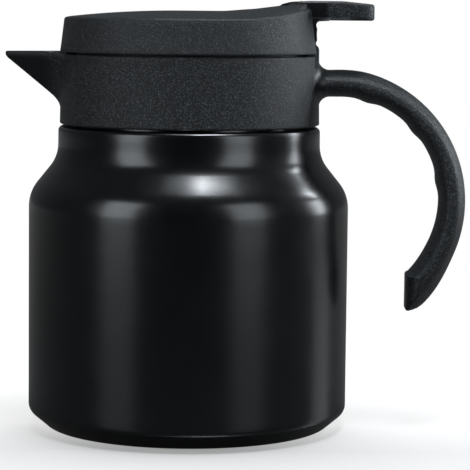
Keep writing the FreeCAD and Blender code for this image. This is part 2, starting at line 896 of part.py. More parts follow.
def grip_sections():
    sections = []
    step = RIDGE_PITCH / STEPS_PER_RIDGE
    first = FIRST_RIDGE_ANGLE + RIDGE_PITCH / 2
    count = int((first - TIP_ANGLE) / step) + 1
    for number in range(count):
        angle = first - step * number
        outward = FreeCAD.Vector(math.cos(math.radians(angle)), 0, math.sin(math.radians(angle)))
        centre = FreeCAD.Vector(handle_reach.value, 0, handle_height.value)
        depth = grip_half_depth(angle)
        sections.append(oval(
            centre + outward * sizes.handle_radius.value, outward, sizes.handle_half_width.value,
            depth, depth + ridge_height(angle)))
    return sections


def loft_through(name, sections, ruled):
    form = doc.addObject("Part::Feature", name)
    form.Shape = Part.makeLoft(sections, True, ruled)
    form.Placement = FreeCAD.Placement()
    return form


def make_handle():
    arm = loft_through("handle_arm", root_sections() + grip_sections(), False)
    key_start = collar_low_radius - sizes.plate_depth
    key = loft_through(
        "handle_key", [root_section(key_start.value), root_section(flare_start.value)], True)
    plate = shared("root_plate", [
        arch_prism("plate_arch", ZERO), plate_band("plate_band", sizes.plate_depth, sizes.plate_rise)])
    tip_reach = handle_reach + sizes.tip_offset
    tip_low = handle_height - sizes.tip_drop
    tip_half_width = sizes.handle_half_width + sizes.tip_margin
    zone_half_width = tip_half_width + sizes.overrun
    zone = block(
        "tip_zone",
        (tip_reach - sizes.tip_zone_height, -zone_half_width, tip_low - sizes.tip_zone_height),
        (tip_reach + sizes.tip_round, zone_half_width, tip_low + sizes.tip_zone_height))
    far_reach = tip_reach + sizes.tip_zone_height
    tongue = padded("tip_tongue", "XY_Plane", [
        (tip_reach, -tip_half_width, sizes.tip_round),
        (far_reach, -tip_half_width),
        (far_reach, tip_half_width),
        (tip_reach, tip_half_width, sizes.tip_round),
    ], sizes.tip_zone_height * 2, tip_low)
    waste = cut("tip_waste", zone, [tongue])
    pilots = [
        screw_tool(f"handle_pilot_{side}", sizes.handle_screw_radius + sizes.screw_thread_gap,
                   screw_seat, sizes.handle_screw_length + sizes.overrun, y)
        for side, y in both_sides(sizes.handle_screw_spread)]
    return cut("handle", fused("handle_form", [arm, key, plate]), [waste] + pilots)


# Screws

def screw(name, shank_radius, length, head_radius, head_height):
    """A pan-headed screw along Z: the head's seat is at zero and the shank points up."""
    return turned(name, [
        (ZERO, -head_height),
        (head_radius, -head_height, sizes.screw_head_round),
        (head_radius, ZERO),
        (shank_radius, ZERO),
        (shank_radius, length - sizes.screw_point_length),
        (ZERO, length),
    ])


def make_handle_screws():
    one = screw("handle_screw", sizes.handle_screw_radius, sizes.handle_screw_length,
                sizes.handle_screw_head_radius, sizes.handle_screw_head_height)
    one.Placement.Rotation = FreeCAD.Rotation(ALONG_Z, ALONG_X)
    place(one, screw_seat, sizes.handle_screw_spread, screw_level)
    return grouped("handle_screws", [one, mirrored("handle_screw_near", one)])


def make_lever_screws():
    one = screw("lever_screw", sizes.lever_screw_radius, sizes.lever_screw_length,
                sizes.lever_screw_head_radius, sizes.lever_screw_head_height)
    place(one, lever_screw_reach, sizes.lever_screw_spread, lid_roof)
    return grouped("lever_screws", [one, mirrored("lever_screw_near", one)])


def make_hinge_pin():
    half = lug_outer - sizes.pin_inset
    return rod("hinge_pin", sizes.pin_radius, half * 2, ALONG_Y, hinge_reach, -half, hinge_height)


# Lid

def cover_radius(height):
    """Outer radius of the lid's tapered side at a height."""
    taper = (lid_low_radius - lid_rim_radius) / sizes.lid_side_height
    return lid_low_radius - taper * (height - lid_low)


def cover_dome():
    """The lid's outer form: a tapered side, a rounded rim and a low crown."""
    run = lid_rim_radius / 2
    slope = square_root(run * run + sizes.lid_crown * sizes.lid_crown)
    trim = run - sizes.lid_rim_round * CROWN_MARGIN_SHARE
    crown_round = trim * (slope + run) / sizes.lid_crown
    top = lid_rim + sizes.lid_crown
    return turned("lid_dome", [
        (ZERO, lid_low),
        (lid_low_radius, lid_low),
        (lid_rim_radius, lid_rim, sizes.lid_rim_round),
        (run, top, crown_round),
        (ZERO, top),
    ])


def cover_ramp():
    """The lid's top edge sweeps up towards the thumb tab."""
    start = hinge_reach - sizes.ramp_start_setback
    bend = hinge_reach - sizes.ramp_bend_setback
    end = hinge_reach + sizes.ramp_end_overhang
    corners = [
        (start, lid_rim - sizes.ramp_depth),
        (end, lid_rim - sizes.ramp_depth),
        (end, lid_rim + sizes.ramp_end_rise),
        (bend, lid_rim + sizes.ramp_bend_rise, sizes.ramp_bend_round),
        (start, lid_rim),
    ]
    slab = padded("ramp_slab", "XZ_Plane", corners, lid_low_radius * 2, symmetric=True)
    top = lid_rim + sizes.ramp_end_rise + sizes.overrun
    cone = turned("ramp_cone", [
        (ZERO, lid_rim - sizes.ramp_depth),
        (cover_radius(lid_rim - sizes.ramp_depth), lid_rim - sizes.ramp_depth),
        (cover_radius(top), top),
        (ZERO, top),
    ])
    return shared("lid_ramp", [slab, cone])


def cover_hollow():
    wall = sizes.lid_wall
    rib_radius = plug_radius - sizes.lid_rib_overlap
    rib_top = lid_rib + sizes.lid_rib_thickness
    below = lid_low - sizes.overrun
    return turned("lid_hollow", [
        (ZERO, below),
        (cover_radius(below) - wall, below),
        (cover_radius(lid_rib) - wall, lid_rib),
        (rib_radius, lid_rib),
        (rib_radius, rib_top),
        (cover_radius(rib_top) - wall, rib_top),
        (cover_radius(lid_roof) - wall, lid_roof),
        (ZERO, lid_roof),
    ])


def lever_plan(name, grow, low, high):
    """The lever's outline from above, with a rounded nose and end."""
    half = sizes.lever_half_width + grow
    nose = hinge_reach - sizes.lever_nose_setback - grow
    end = hinge_reach + sizes.lever_overhang + grow
    return padded(name, "XY_Plane", [
        (nose, -half, sizes.lever_nose_round),
        (end, -half, sizes.lever_end_round),
        (end, half, sizes.lever_end_round),
        (nose, half, sizes.lever_nose_round),
    ], high - low, low)


def make_lid_cover():
    form = fused("lid_form", [cover_dome(), cover_ramp()])
    top = lid_rim + sizes.lever_top_rise + sizes.overrun
    seat = lever_plan("lever_seat", sizes.lever_gap, lever_seat, top)
    half = sizes.lever_half_width + sizes.lever_gap
    notch = block(
        "hinge_notch",
        (apron_inner - sizes.lever_gap, -half, lid_low - sizes.overrun),
        (lid_low_radius + sizes.overrun, half, lever_seat + sizes.overrun))
    rib_notch = block(
        "rib_notch",
        (plug_relief, -half, lid_low - sizes.overrun),
        (lid_low_radius + sizes.overrun, half, lid_roof))
    holes = [
        rod(f"cover_screw_hole_{side}", sizes.lever_screw_radius + sizes.screw_pass_gap,
            sizes.lid_wall + sizes.overrun * 2, ALONG_Z, lever_screw_reach, y, lid_roof - sizes.overrun)
        for side, y in both_sides(sizes.lever_screw_spread)]
    return cut("lid_cover", form, [cover_hollow(), seat, notch, rib_notch] + holes)


def make_thumb_lever():
    apron_low = hinge_height + sizes.barrel_radius + sizes.apron_clearance
    apron_low_reach = hinge_reach + sizes.apron_low_outset
    nose = hinge_reach - sizes.lever_nose_setback
    end = hinge_reach + sizes.lever_overhang
    top = lid_rim + sizes.lever_top_rise
    side = padded("lever_side", "XZ_Plane", [
        (nose, lever_seat),
        (apron_inner, lever_seat),
        (apron_inner, apron_low),
        (apron_low_reach, apron_low),
        (hinge_reach + sizes.apron_top_outset, lever_under, sizes.apron_blend),
        (end, lever_under, sizes.lever_edge_round),
        (end, top - sizes.lever_end_drop, sizes.lever_edge_round),
        (hinge_reach + sizes.crown_end_overhang, top, sizes.crown_round),
        (hinge_reach - sizes.crown_start_setback, top, sizes.crown_round),
        (hinge_reach - sizes.lever_step_setback, lid_rim + sizes.lever_step_rise, sizes.lever_step_round),
        (hinge_reach - sizes.lever_foot_setback, lid_rim + sizes.lever_foot_rise, sizes.lever_foot_round),
        (nose, lid_rim + sizes.lever_nose_rise),
    ], sizes.lever_half_width * 2, symmetric=True)
    plan = lever_plan("lever_plan", ZERO, apron_low - sizes.overrun, top + sizes.overrun)
    plate = shared("lever_plate", [side, plan])
    barrel = rod(
        "knuckle_barrel", sizes.barrel_radius, sizes.knuckle_half_width * 2, ALONG_Y,
        hinge_reach, -sizes.knuckle_half_width, hinge_height)
    web = block(
        "knuckle_web",
        (apron_inner, -sizes.knuckle_half_width, hinge_height),
        (apron_low_reach, sizes.knuckle_half_width, apron_low + sizes.overrun))
    pin_hole = rod(
        "knuckle_pin_hole", sizes.pin_radius + sizes.pin_running_gap,
        (sizes.knuckle_half_width + sizes.overrun) * 2, ALONG_Y,
        hinge_reach, -(sizes.knuckle_half_width + sizes.overrun), hinge_height)
    pilots = [
        rod(f"lever_pilot_{name}", sizes.lever_screw_radius + sizes.screw_thread_gap,
            sizes.lever_screw_length, ALONG_Z, lever_screw_reach, y, lid_roof + sizes.seat_gap)
        for name, y in both_sides(sizes.lever_screw_spread)]
    form = fused("lever_form", [plate, barrel, web])
    return cut("thumb_lever", form, [pin_hole] + pilots)


def make_lid_plug():
    floor_top = plug_low + sizes.plug_wall
    flange_low = lid_rib - sizes.plug_flange_thickness
    flange_radius = cover_radius(lid_rib) - sizes.lid_wall - sizes.plug_flange_gap
    relief_half_width = lug_outer + sizes.plug_relief_margin
    tub = turned("plug_tub", [
        (ZERO, plug_low),
        (plug_radius, plug_low, sizes.plug_edge_round),
        (plug_radius, flange_low),
        (flange_radius, flange_low),
        (flange_radius, lid_rib),
        (plug_radius - sizes.plug_wall, lid_rib),
        (plug_radius - sizes.plug_wall, floor_top),
        (ZERO, floor_top),
    ])
    relief = block(
        "plug_relief",
        (plug_relief, -relief_half_width, flange_low - sizes.overrun),
        (flange_radius + sizes.overrun, relief_half_width, lid_rib + sizes.overrun))
    return cut("lid_plug", tub, [relief])


def make_lid_fillings():
    floor_top = plug_low + sizes.plug_wall
    foam_radius = plug_radius - sizes.plug_wall - sizes.foam_clearance
    return [
        turned("lid_insulation", disc_corners(foam_radius, floor_top, lid_roof - sizes.foam_headroom)),
        turned("lid_gasket", ring_corners(
            ledge_radius - sizes.lid_gasket_margin, mouth_ring_radius + sizes.lid_gasket_margin,
            gasket_low, plug_low)),
    ]


# Strainer

def make_strainer_ring():
    outer = mouth_radius - sizes.strainer_tube_gap
    inner = outer - sizes.strainer_tube_wall
    flange = ledge_radius - sizes.strainer_flange_gap
    top = ledge + sizes.strainer_flange_thickness
    return turned("strainer_ring", [
        (inner, ledge - sizes.strainer_tube_drop),
        (outer, ledge - sizes.strainer_tube_drop),
        (outer, ledge),
        (flange, ledge),
        (flange, top),
        (inner, top),
    ])


def make_strainer_basket():
    outer = mouth_radius - sizes.strainer_tube_gap - sizes.strainer_tube_wall - sizes.basket_gap
    inner = outer - sizes.basket_wall
    top = ledge - sizes.basket_top_drop
    low = top - sizes.basket_depth
    body = turned("strainer_basket", [
        (ZERO, low),
        (outer, low, sizes.basket_floor_round),
        (outer, top),
        (inner, top),
        (inner, low + sizes.basket_wall, sizes.basket_floor_round - sizes.basket_wall),
        (ZERO, low + sizes.basket_wall),
    ])
    half = sizes.slot_width / 2
    cuts = []
    for number in range(SLOT_ROWS):
        start = low + sizes.slot_start + sizes.slot_spacing * number
        end = start + sizes.slot_height
        slot = sketch_on(body, "XZ_Plane", f"slot_row_{number + 1}", [
            (-half, start), (half, start), (half, end), (-half, end)])
        pocket = body.newObject("PartDesign::Pocket", f"slot_cut_{number + 1}")
        pocket.Profile = slot
        pocket.Reversed = True
        bind(pocket, "Length", outer + sizes.overrun)
        cuts.append(pocket)
    spread = body.newObject("PartDesign::PolarPattern", "slot_pattern")
    spread.Originals = cuts
    spread.Axis = (origin_plane(body, "Z_Axis"), [""])
    spread.Angle = TURN
    spread.Occurrences = SLOT_COLUMNS
    body.Tip = spread
    return body


# Assembly

pieces = [make_outer_shell(), make_inner_flask()]
pieces += make_base_pieces()
pieces += [make_collar(), make_thread_ring(), make_neck_gasket(), make_handle()]
pieces += [make_handle_screws(), make_hinge_pin()]
pieces += [make_strainer_ring(), make_strainer_basket()]
pieces += [make_lid_cover(), make_thumb_lever(), make_lever_screws(), make_lid_plug()]
pieces += make_lid_fillings()
doc.recompute()

for thing in doc.Objects:
    if "Invalid" in thing.State or "Error" in thing.State:
        raise RuntimeError(f"{thing.Name} failed to build: {thing.State}")

for piece in pieces:
    if piece.Shape.isNull() or not piece.Shape.isValid():
        raise RuntimeError(f"{piece.Label} has no valid shape")

os.makedirs("parts", exist_ok=True)
for piece in pieces:
    piece.Shape.exportStep(f"parts/{piece.Label}.step")
    print(piece.Label, len(piece.Shape.Solids), round(piece.Shape.Volume))
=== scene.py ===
import math

import bmesh
import bpy
import numpy as np
from mathutils import Matrix


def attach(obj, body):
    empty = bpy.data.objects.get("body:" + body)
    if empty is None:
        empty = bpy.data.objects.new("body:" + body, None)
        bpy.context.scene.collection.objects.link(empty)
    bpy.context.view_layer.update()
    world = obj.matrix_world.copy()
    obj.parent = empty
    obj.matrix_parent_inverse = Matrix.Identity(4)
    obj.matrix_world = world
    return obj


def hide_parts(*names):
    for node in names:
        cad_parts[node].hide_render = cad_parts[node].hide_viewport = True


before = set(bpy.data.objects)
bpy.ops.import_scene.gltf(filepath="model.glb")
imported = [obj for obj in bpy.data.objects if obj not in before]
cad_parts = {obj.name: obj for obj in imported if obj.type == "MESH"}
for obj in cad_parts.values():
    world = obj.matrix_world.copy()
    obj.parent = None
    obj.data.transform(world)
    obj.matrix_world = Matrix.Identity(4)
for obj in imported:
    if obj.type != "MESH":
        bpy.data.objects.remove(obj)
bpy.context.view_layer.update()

# Sizes of the part in millimetres
MM = 0.001
BODY_RADIUS = 58.0
BODY_HEIGHT = 85.3
SHELL_WALL = 0.6
FOOT_LIFT = 0.4
FOOT_RADIUS = 50.7
FOOT_LIP_RADIUS = 47.4
FOOT_ROUND = 4.0
BEVEL_HEIGHT = 6.6
BEVEL_ROUND = 4.0
SHOULDER_TOP = 98.4
SHOULDER_ROUND = 14.0
NECK_RADIUS = 47.5
NECK_BLEND = 13.0
NECK_TAPER = 0.1
NECK_TOP = 109.6
NECK_EDGE_ROUND = 1.8
TUBE_RADIUS = 41.5
TUBE_TOP = 116.4
BEAD_HEIGHT = 0.6
BEAD_LOWS = (111.8, 114.4)
BEAD_LENGTH = 1.6
BEAD_SLOPE = 0.4
COLLAR_LOW = 110.3
COLLAR_TOP = 135.5
COLLAR_LOW_RADIUS = 46.9
COLLAR_TOP_RADIUS = 46.4
COLLAR_BORE = 44.0
COLLAR_EDGE_ROUND = 0.7
DECK_LOW = 118.4
DECK_TOP = 120.4
LEDGE = 121.4
MOUTH_RADIUS = 35.5
MOUTH_INNER_RADIUS = 37.6
MOUTH_OUTER_RADIUS = 40.0
MOUTH_TOP = 126.0
SOFT_EDGE = 0.4
SPOUT_ROOT = 44.2
SPOUT_LOW = 118.2
SPOUT_EDGE = 134.4
SPOUT_LOW_HALF_WIDTH = 3.0
SPOUT_TOP_HALF_WIDTH = 13.5
SPOUT_LOW_REACH = 47.6
SPOUT_TOP_REACH = 69.2
SPOUT_LOW_ROUND = 1.0
SPOUT_TOP_ROUND = 2.2
SPOUT_BLEND = 3.4
CHANNEL_ROOT = 41.0
CHANNEL_LOW_HALF_WIDTH = 2.4
CHANNEL_TOP_HALF_WIDTH = 12.8
CHANNEL_LOW_REACH = 46.8
CHANNEL_TOP_REACH = 63.7
CHANNEL_ROUND = 1.4
CHANNEL_BLEND = 1.2
LEAST_WIDTH = 0.5
WEDGE_FALL = 60.0
LIP_RISE = 0.65
LIP_START = 47.2
LIP_RUN = 1.4
HINGE_REACH = 44.2
HINGE_HEIGHT = 137.6
BARREL_RADIUS = 2.2
RELIEF_RADIUS = 2.6
KNUCKLE_HALF_WIDTH = 7.6
LUG_INNER = 7.9
LUG_OUTER = 11.3
LUG_FOOT = 131.5
BOSS_LOW = (43.2, -9.0, 121.9)
BOSS_HIGH = (44.6, 9.0, 128.9)
LID_LOW = 136.2
LID_RIM = 148.7
LID_ROOF = 146.5
LID_LOW_RADIUS = 46.85
LID_RIM_RADIUS = 45.3
LID_WALL = 2.2
LID_RIM_ROUND = 1.0
LID_INNER_ROUND = 1.0
LID_CROWN_TOP = 151.3
LID_CROWN_BEND = 22.65
LID_CROWN_ROUND = 343.0
RAMP_CORNERS = ((13.0, 0, 0), (23.0, 0.2, 20.0), (34.0, 1.65, 30.0), (46.0, 4.2, 0))
CROWN_SWELL = 0.65
CROWN_SWELL_START = 10.0
CROWN_SWELL_RUN = 14.0
NOTCH_REACH = 43.0
NOTCH_HALF_WIDTH = 11.7
LEVER_HALF_WIDTH = 11.5
LEVER_NOSE = 31.0
LEVER_NOSE_ROUND = 9.0
LEVER_END = 66.2
LEVER_END_ROUND = 5.0
LEVER_SEAT = 149.0
SEAT_FRONT = 34.0
SEAT_MARGIN = 1.2
SEAT_RUN = 1.5
LEVER_UNDER = 148.3
LEVER_EDGE_ROUND = 1.1
LEVER_TOP_CORNERS = (
    (LEVER_NOSE, 152.2, 0), (33.2, 154.0, 1.0), (36.4, 154.85, 6.0), (43.0, 155.2, 24.0), (55.0, 155.2, 24.0),
    (LEVER_END, 154.1, 0))
APRON_CORNERS = (
    (43.2, 149.4, 0), (43.2, 140.6, 0), (45.6, 140.6, 0.5), (45.0, 148.35, 1.5), (50.0, 148.35, 0),
    (50.0, 149.4, 0))
WEB_LOW = (43.2, -7.6, 137.6)
WEB_HIGH = (45.4, 7.6, 142.6)
HANDLE_LEVEL = 125.6
HANDLE_REACH = 53.2
HANDLE_HEIGHT = 83.4
HANDLE_RADIUS = 42.2
HANDLE_HALF_WIDTH = 10.0
ROOT_HALF_DEPTH = 4.85
GRIP_HALF_DEPTH = 4.3
TIP_HALF_DEPTH = 5.7
FLARE_ROUND = 4.2
FLARE_SINK = 2.0
FINGER_RIDGE = 0.75
OUTER_SWELL = 0.7
TIP_BULGE = 1.8
TIP_THINNING = 0.7
TIP_LOW = 43.05
TIP_LOW_BLEND = 2.4
TIP_REACH = 79.3
TIP_FLAT_HALF_WIDTH = 3.6
TIP_ROUND = 7.0
TIP_EDGE_ROUND = 1.0
PLATE_RISE = 0.22
PLATE_SINK = 1.2
PLATE_EDGE_ROUND = 0.3
PLATE_CORNERS = (
    (19.6, 110.3, 0), (15.2, 124.5, 9.0), (6.5, 133.8, 3.0), (0, 133.8, 0))

# Shares of the handle's half width and half depth, and of its flare and its end face
SECTION_SIDE = 0.87
SECTION_EDGE = 0.5
FLARE_SHARES = (0, 0.04, 0.1, 0.19, 0.3, 0.45, 0.65, 0.85, 1.0)
END_SHARES = (0.8, 0.6, 0.4, 0.2, 0)

# Finger ridges: their number, how sharply each one rises, and the half of their pitch as a share
RIDGES = 3
RIDGE_SHARPNESS = 4
HALF_PITCH = 0.5

# Angles in degrees
GRIP_ANGLE = 45.0
TIP_ANGLE = -60.0
TIP_START_ANGLE = -20.0
BULGE_START_ANGLE = -24.0
BULGE_RUN = 28.0
SWELL_START_ANGLE = 95.0
SWELL_RUN = 20.0
ROOT_ANGLE = 90.0
RIDGE_PITCH = 30.9
FIRST_RIDGE_ANGLE = 72.5
SHARP_ANGLE = 40.0
ARM_STEP = 2.5
HALF_TURN = 180.0
SPOUT_ANGLE_RUNS = ((0, 3, 0.15), (3, 14, 0.5), (14, 40, 1.0), (40, 180, 2.0))

# Fineness of the meshes: lengths in millimetres and counts of rows and columns
LARGEST_STEP = 2.5
FINE_STEP = 1.0
ARC_STEPS = 9
SOFT_STEPS = 4
LIP_STEPS = 5
ROUND_STEPS = 6
RIM_STEPS = 7
LATHE_COLUMNS = 288
COLLAR_ROWS = 44
BORE_ROWS = 26
RIM_COLUMNS = 240
NOTCH_COLUMNS = 16
LID_SIDE_ROWS = 14
LID_TOP_ROWS = 44
LEVER_UNDER_ROWS = 5
LEVER_TOP_ROWS = 9
BARREL_COLUMNS = 40
FACE_COLUMNS = 17
SIDE_COLUMNS = 11
TIP_ROWS = 16
TIP_ROUNDS = 8
PLATE_ROWS = 14


# Helpers that draw outlines

def unit(vector):
    return vector / np.linalg.norm(vector)


def spaced(points, closed, step=LARGEST_STEP):
    """Adds points along the straight runs so that none is longer than step."""
    ends = points[1:] + points[:1] if closed else points[1:]
    result = []
    for start, end in zip(points, ends):
        pieces = max(1, math.ceil(np.linalg.norm(end - start) / step))
        for piece in range(pieces):
            result.append(start + (end - start) * piece / pieces)
    if not closed:
        result.append(points[-1])
    return np.array(result)


def rounded_path(corners, closed, step=LARGEST_STEP):
    """Points along an outline of (across, up, round) corners."""
    count = len(corners)
    points = []
    for number, (across, up, radius) in enumerate(corners):
        corner = np.array((across, up), float)
        if radius == 0:
            points.append(corner)
            continue
        back = unit(np.array(corners[number - 1][:2]) - corner)
        ahead = unit(np.array(corners[(number + 1) % count][:2]) - corner)
        half = math.acos(np.clip(back @ ahead, -1, 1)) / 2
        centre = corner + unit(back + ahead) * radius / math.sin(half)
        first = corner + back * radius / math.tan(half) - centre
        last = corner + ahead * radius / math.tan(half) - centre
        sweep = math.pi - 2 * half
        for share in np.linspace(0, 1, ARC_STEPS):
            turn = first * math.sin((1 - share) * sweep) + last * math.sin(share * sweep)
            points.append(centre + turn / math.sin(sweep))
    return spaced(points, closed, step)


def quarter_turn(steps):
    """Pairs (inset, drop) of a unit rounding, from the side to the top."""
    turns = np.linspace(0, math.pi / 2, steps)
    return [(1 - math.cos(turn), 1 - math.sin(turn)) for turn in turns]


def smooth_max(first, second, blend):
    near = np.maximum(blend - np.abs(first - second), 0) / blend
    return np.maximum(first, second) + near * near * blend / 4


def eased(share):
    share = np.clip(share, 0, 1)
    return share * share * (3 - 2 * share)


def between(low, high, share):
    return low + (high - low) * share


# Helpers that make pieces

class Form:
    """Points in millimetres and faces of one piece, gathered from rows of points."""

    def __init__(self):
        self.points = []
        self.faces = []

    def grid(self, rows, join_rows=False, join_columns=True):
        rows = np.asarray(rows, float)
        start = len(self.points)
        count, width = rows.shape[:2]
        self.points.extend(rows.reshape(-1, 3).tolist())
        for row in range(count if join_rows else count - 1):
            below = start + row * width
            above = start + (row + 1) % count * width
            for column in range(width if join_columns else width - 1):
                beside = (column + 1) % width
                self.faces.append((below + column, below + beside, above + beside, above + column))
        return start

    def cap(self, first, width):
        """Closes a ring of points that starts at an index."""
        self.faces.append(tuple(range(first, first + width)))

    def prism(self, outline, low, high, edge):
        """An outline of (x, z) points thickened along Y, with softened edges."""
        outline = np.asarray(outline, float)
        middle = outline.mean(axis=0)
        spokes = outline - middle
        spokes /= np.linalg.norm(spokes, axis=1)[:, None]
        rows = []
        for inset, drop in reversed(quarter_turn(SOFT_STEPS)):
            rows.append(self.level(outline - spokes * edge * inset, low + edge * drop))
        for inset, drop in quarter_turn(SOFT_STEPS):
            rows.append(self.level(outline - spokes * edge * inset, high - edge * drop))
        start = self.grid(rows)
        width = len(outline)
        self.cap(start, width)
        self.cap(start + (len(rows) - 1) * width, width)

    @staticmethod
    def level(outline, y):
        return np.stack([outline[:, 0], np.full(len(outline), y), outline[:, 1]], axis=1)

    def block(self, low, high, edge):
        corners = [(low[0], low[2]), (high[0], low[2]), (high[0], high[2]), (low[0], high[2])]
        outline = spaced([np.array(corner) for corner in corners], True)
        self.prism(outline, low[1], high[1], edge)

    def make(self, name, node, body):
        mesh = bpy.data.meshes.new(name)
        mesh.from_pydata((np.array(self.points) * MM).tolist(), [], self.faces)
        work = bmesh.new()
        work.from_mesh(mesh)
        bmesh.ops.remove_doubles(work, verts=work.verts, dist=MM * MM)
        loose = [edge for edge in work.edges if not edge.link_faces]
        bmesh.ops.delete(work, geom=loose, context="EDGES")
        bmesh.ops.recalc_face_normals(work, faces=work.faces)
        work.to_mesh(mesh)
        work.free()
        mesh.shade_smooth()
        mesh.set_sharp_from_angle(angle=math.radians(SHARP_ANGLE))
        piece = bpy.data.objects.new(name, mesh)
        bpy.context.scene.collection.objects.link(piece)
        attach(piece, body)
        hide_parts(node)
        return piece


def turned_rows(path, columns=LATHE_COLUMNS):
    turns = np.linspace(0, 2 * math.pi, columns, endpoint=False)
    return [np.stack([r * np.cos(turns), r * np.sin(turns), np.full(columns, z)], axis=1) for r, z in path]


# Painted shell

def make_shell():
    inner = BODY_RADIUS - SHELL_WALL
    corners = [
        (FOOT_LIP_RADIUS, FOOT_LIFT, 0),
        (FOOT_RADIUS, FOOT_LIFT, FOOT_ROUND),
        (BODY_RADIUS, BEVEL_HEIGHT, BEVEL_ROUND),
        (BODY_RADIUS, BODY_HEIGHT, SHOULDER_ROUND),
        (NECK_RADIUS, SHOULDER_TOP, NECK_BLEND),
        (NECK_RADIUS - NECK_TAPER, NECK_TOP, NECK_EDGE_ROUND),
        (TUBE_RADIUS, NECK_TOP, 0),
    ]
    for low in BEAD_LOWS:
        corners += [
            (TUBE_RADIUS, low, 0),
            (TUBE_RADIUS + BEAD_HEIGHT, low + BEAD_SLOPE, 0),
            (TUBE_RADIUS + BEAD_HEIGHT, low + BEAD_LENGTH - BEAD_SLOPE, 0),
            (TUBE_RADIUS, low + BEAD_LENGTH, 0),
        ]
    corners += [
        (TUBE_RADIUS, TUBE_TOP, 0),
        (TUBE_RADIUS - SHELL_WALL, TUBE_TOP, 0),
        (TUBE_RADIUS - SHELL_WALL, NECK_TOP - SHELL_WALL, 0),
        (NECK_RADIUS - SHELL_WALL, NECK_TOP - SHELL_WALL, NECK_EDGE_ROUND - SHELL_WALL),
        (NECK_RADIUS - SHELL_WALL, SHOULDER_TOP - SHELL_WALL / 2, NECK_BLEND + SHELL_WALL),
        (inner, BODY_HEIGHT - SHELL_WALL / 2, SHOULDER_ROUND - SHELL_WALL),
        (inner, BEVEL_HEIGHT + SHELL_WALL / 2, BEVEL_ROUND - SHELL_WALL),
        (FOOT_RADIUS - SHELL_WALL / 2, FOOT_LIFT + SHELL_WALL, FOOT_ROUND - SHELL_WALL),
        (FOOT_LIP_RADIUS, FOOT_LIFT + SHELL_WALL, 0),
    ]
    form = Form()
    form.grid(turned_rows(rounded_path(corners, True)), join_rows=True)
    return form.make("painted_shell", "outer_shell", "flask")


# Collar with the spout

def spout_angles():
    """Directions around the axis measured from the spout, close together at its tip."""
    half = np.concatenate([np.arange(start, end, step) for start, end, step in SPOUT_ANGLE_RUNS])
    return np.radians(np.concatenate([-half[:0:-1], half, [HALF_TURN]]))


ANGLES = spout_angles()


def wedge_reach(half_width, reach, tip_round, root):
    """Distance from the axis to the sides of a wedge with a rounded tip, for every direction."""
    reach = max(reach, root + LEAST_WIDTH)
    half_width = max(half_width, LEAST_WIDTH)
    size = np.abs(ANGLES)
    slope = (reach - root) / half_width
    straight = reach / (np.cos(size) + slope * np.sin(size))
    point = math.atan2(half_width, reach - root)
    centre = reach - tip_round / math.sin(point)
    under = np.maximum(tip_round ** 2 - (centre * np.sin(size)) ** 2, 0)
    curved = centre * np.cos(size) + np.sqrt(under)
    limit = math.atan2(tip_round * math.cos(point), centre + tip_round * math.sin(point))
    corner = math.atan2(half_width, root)
    behind = math.hypot(half_width, root) - (size - corner) * WEDGE_FALL
    return np.where(size < limit, curved, np.where(size < corner, straight, behind))


def collar_outside(height):
    cone = between(COLLAR_LOW_RADIUS, COLLAR_TOP_RADIUS, (height - COLLAR_LOW) / (COLLAR_TOP - COLLAR_LOW))
    rise = min((height - SPOUT_LOW) / (SPOUT_EDGE - SPOUT_LOW), 1)
    wedge = wedge_reach(
        between(SPOUT_LOW_HALF_WIDTH, SPOUT_TOP_HALF_WIDTH, rise),
        between(SPOUT_LOW_REACH, SPOUT_TOP_REACH, rise),
        between(SPOUT_LOW_ROUND, SPOUT_TOP_ROUND, max(rise, 0)), SPOUT_ROOT)
    return smooth_max(cone, wedge, SPOUT_BLEND)


def collar_inside(height):
    rise = max((height - DECK_TOP) / (COLLAR_TOP - DECK_TOP), 0)
    wedge = wedge_reach(
        between(CHANNEL_LOW_HALF_WIDTH, CHANNEL_TOP_HALF_WIDTH, rise),
        between(CHANNEL_LOW_REACH, CHANNEL_TOP_REACH, rise), CHANNEL_ROUND * rise + LEAST_WIDTH, CHANNEL_ROOT)
    return smooth_max(COLLAR_BORE, wedge, CHANNEL_BLEND)


def around(reach, height):
    """A ring of points at a distance from the axis for every direction."""
    reach = np.broadcast_to(reach, ANGLES.shape)
    return np.stack([-reach * np.cos(ANGLES), reach * np.sin(ANGLES), np.full(ANGLES.shape, height)], axis=1)


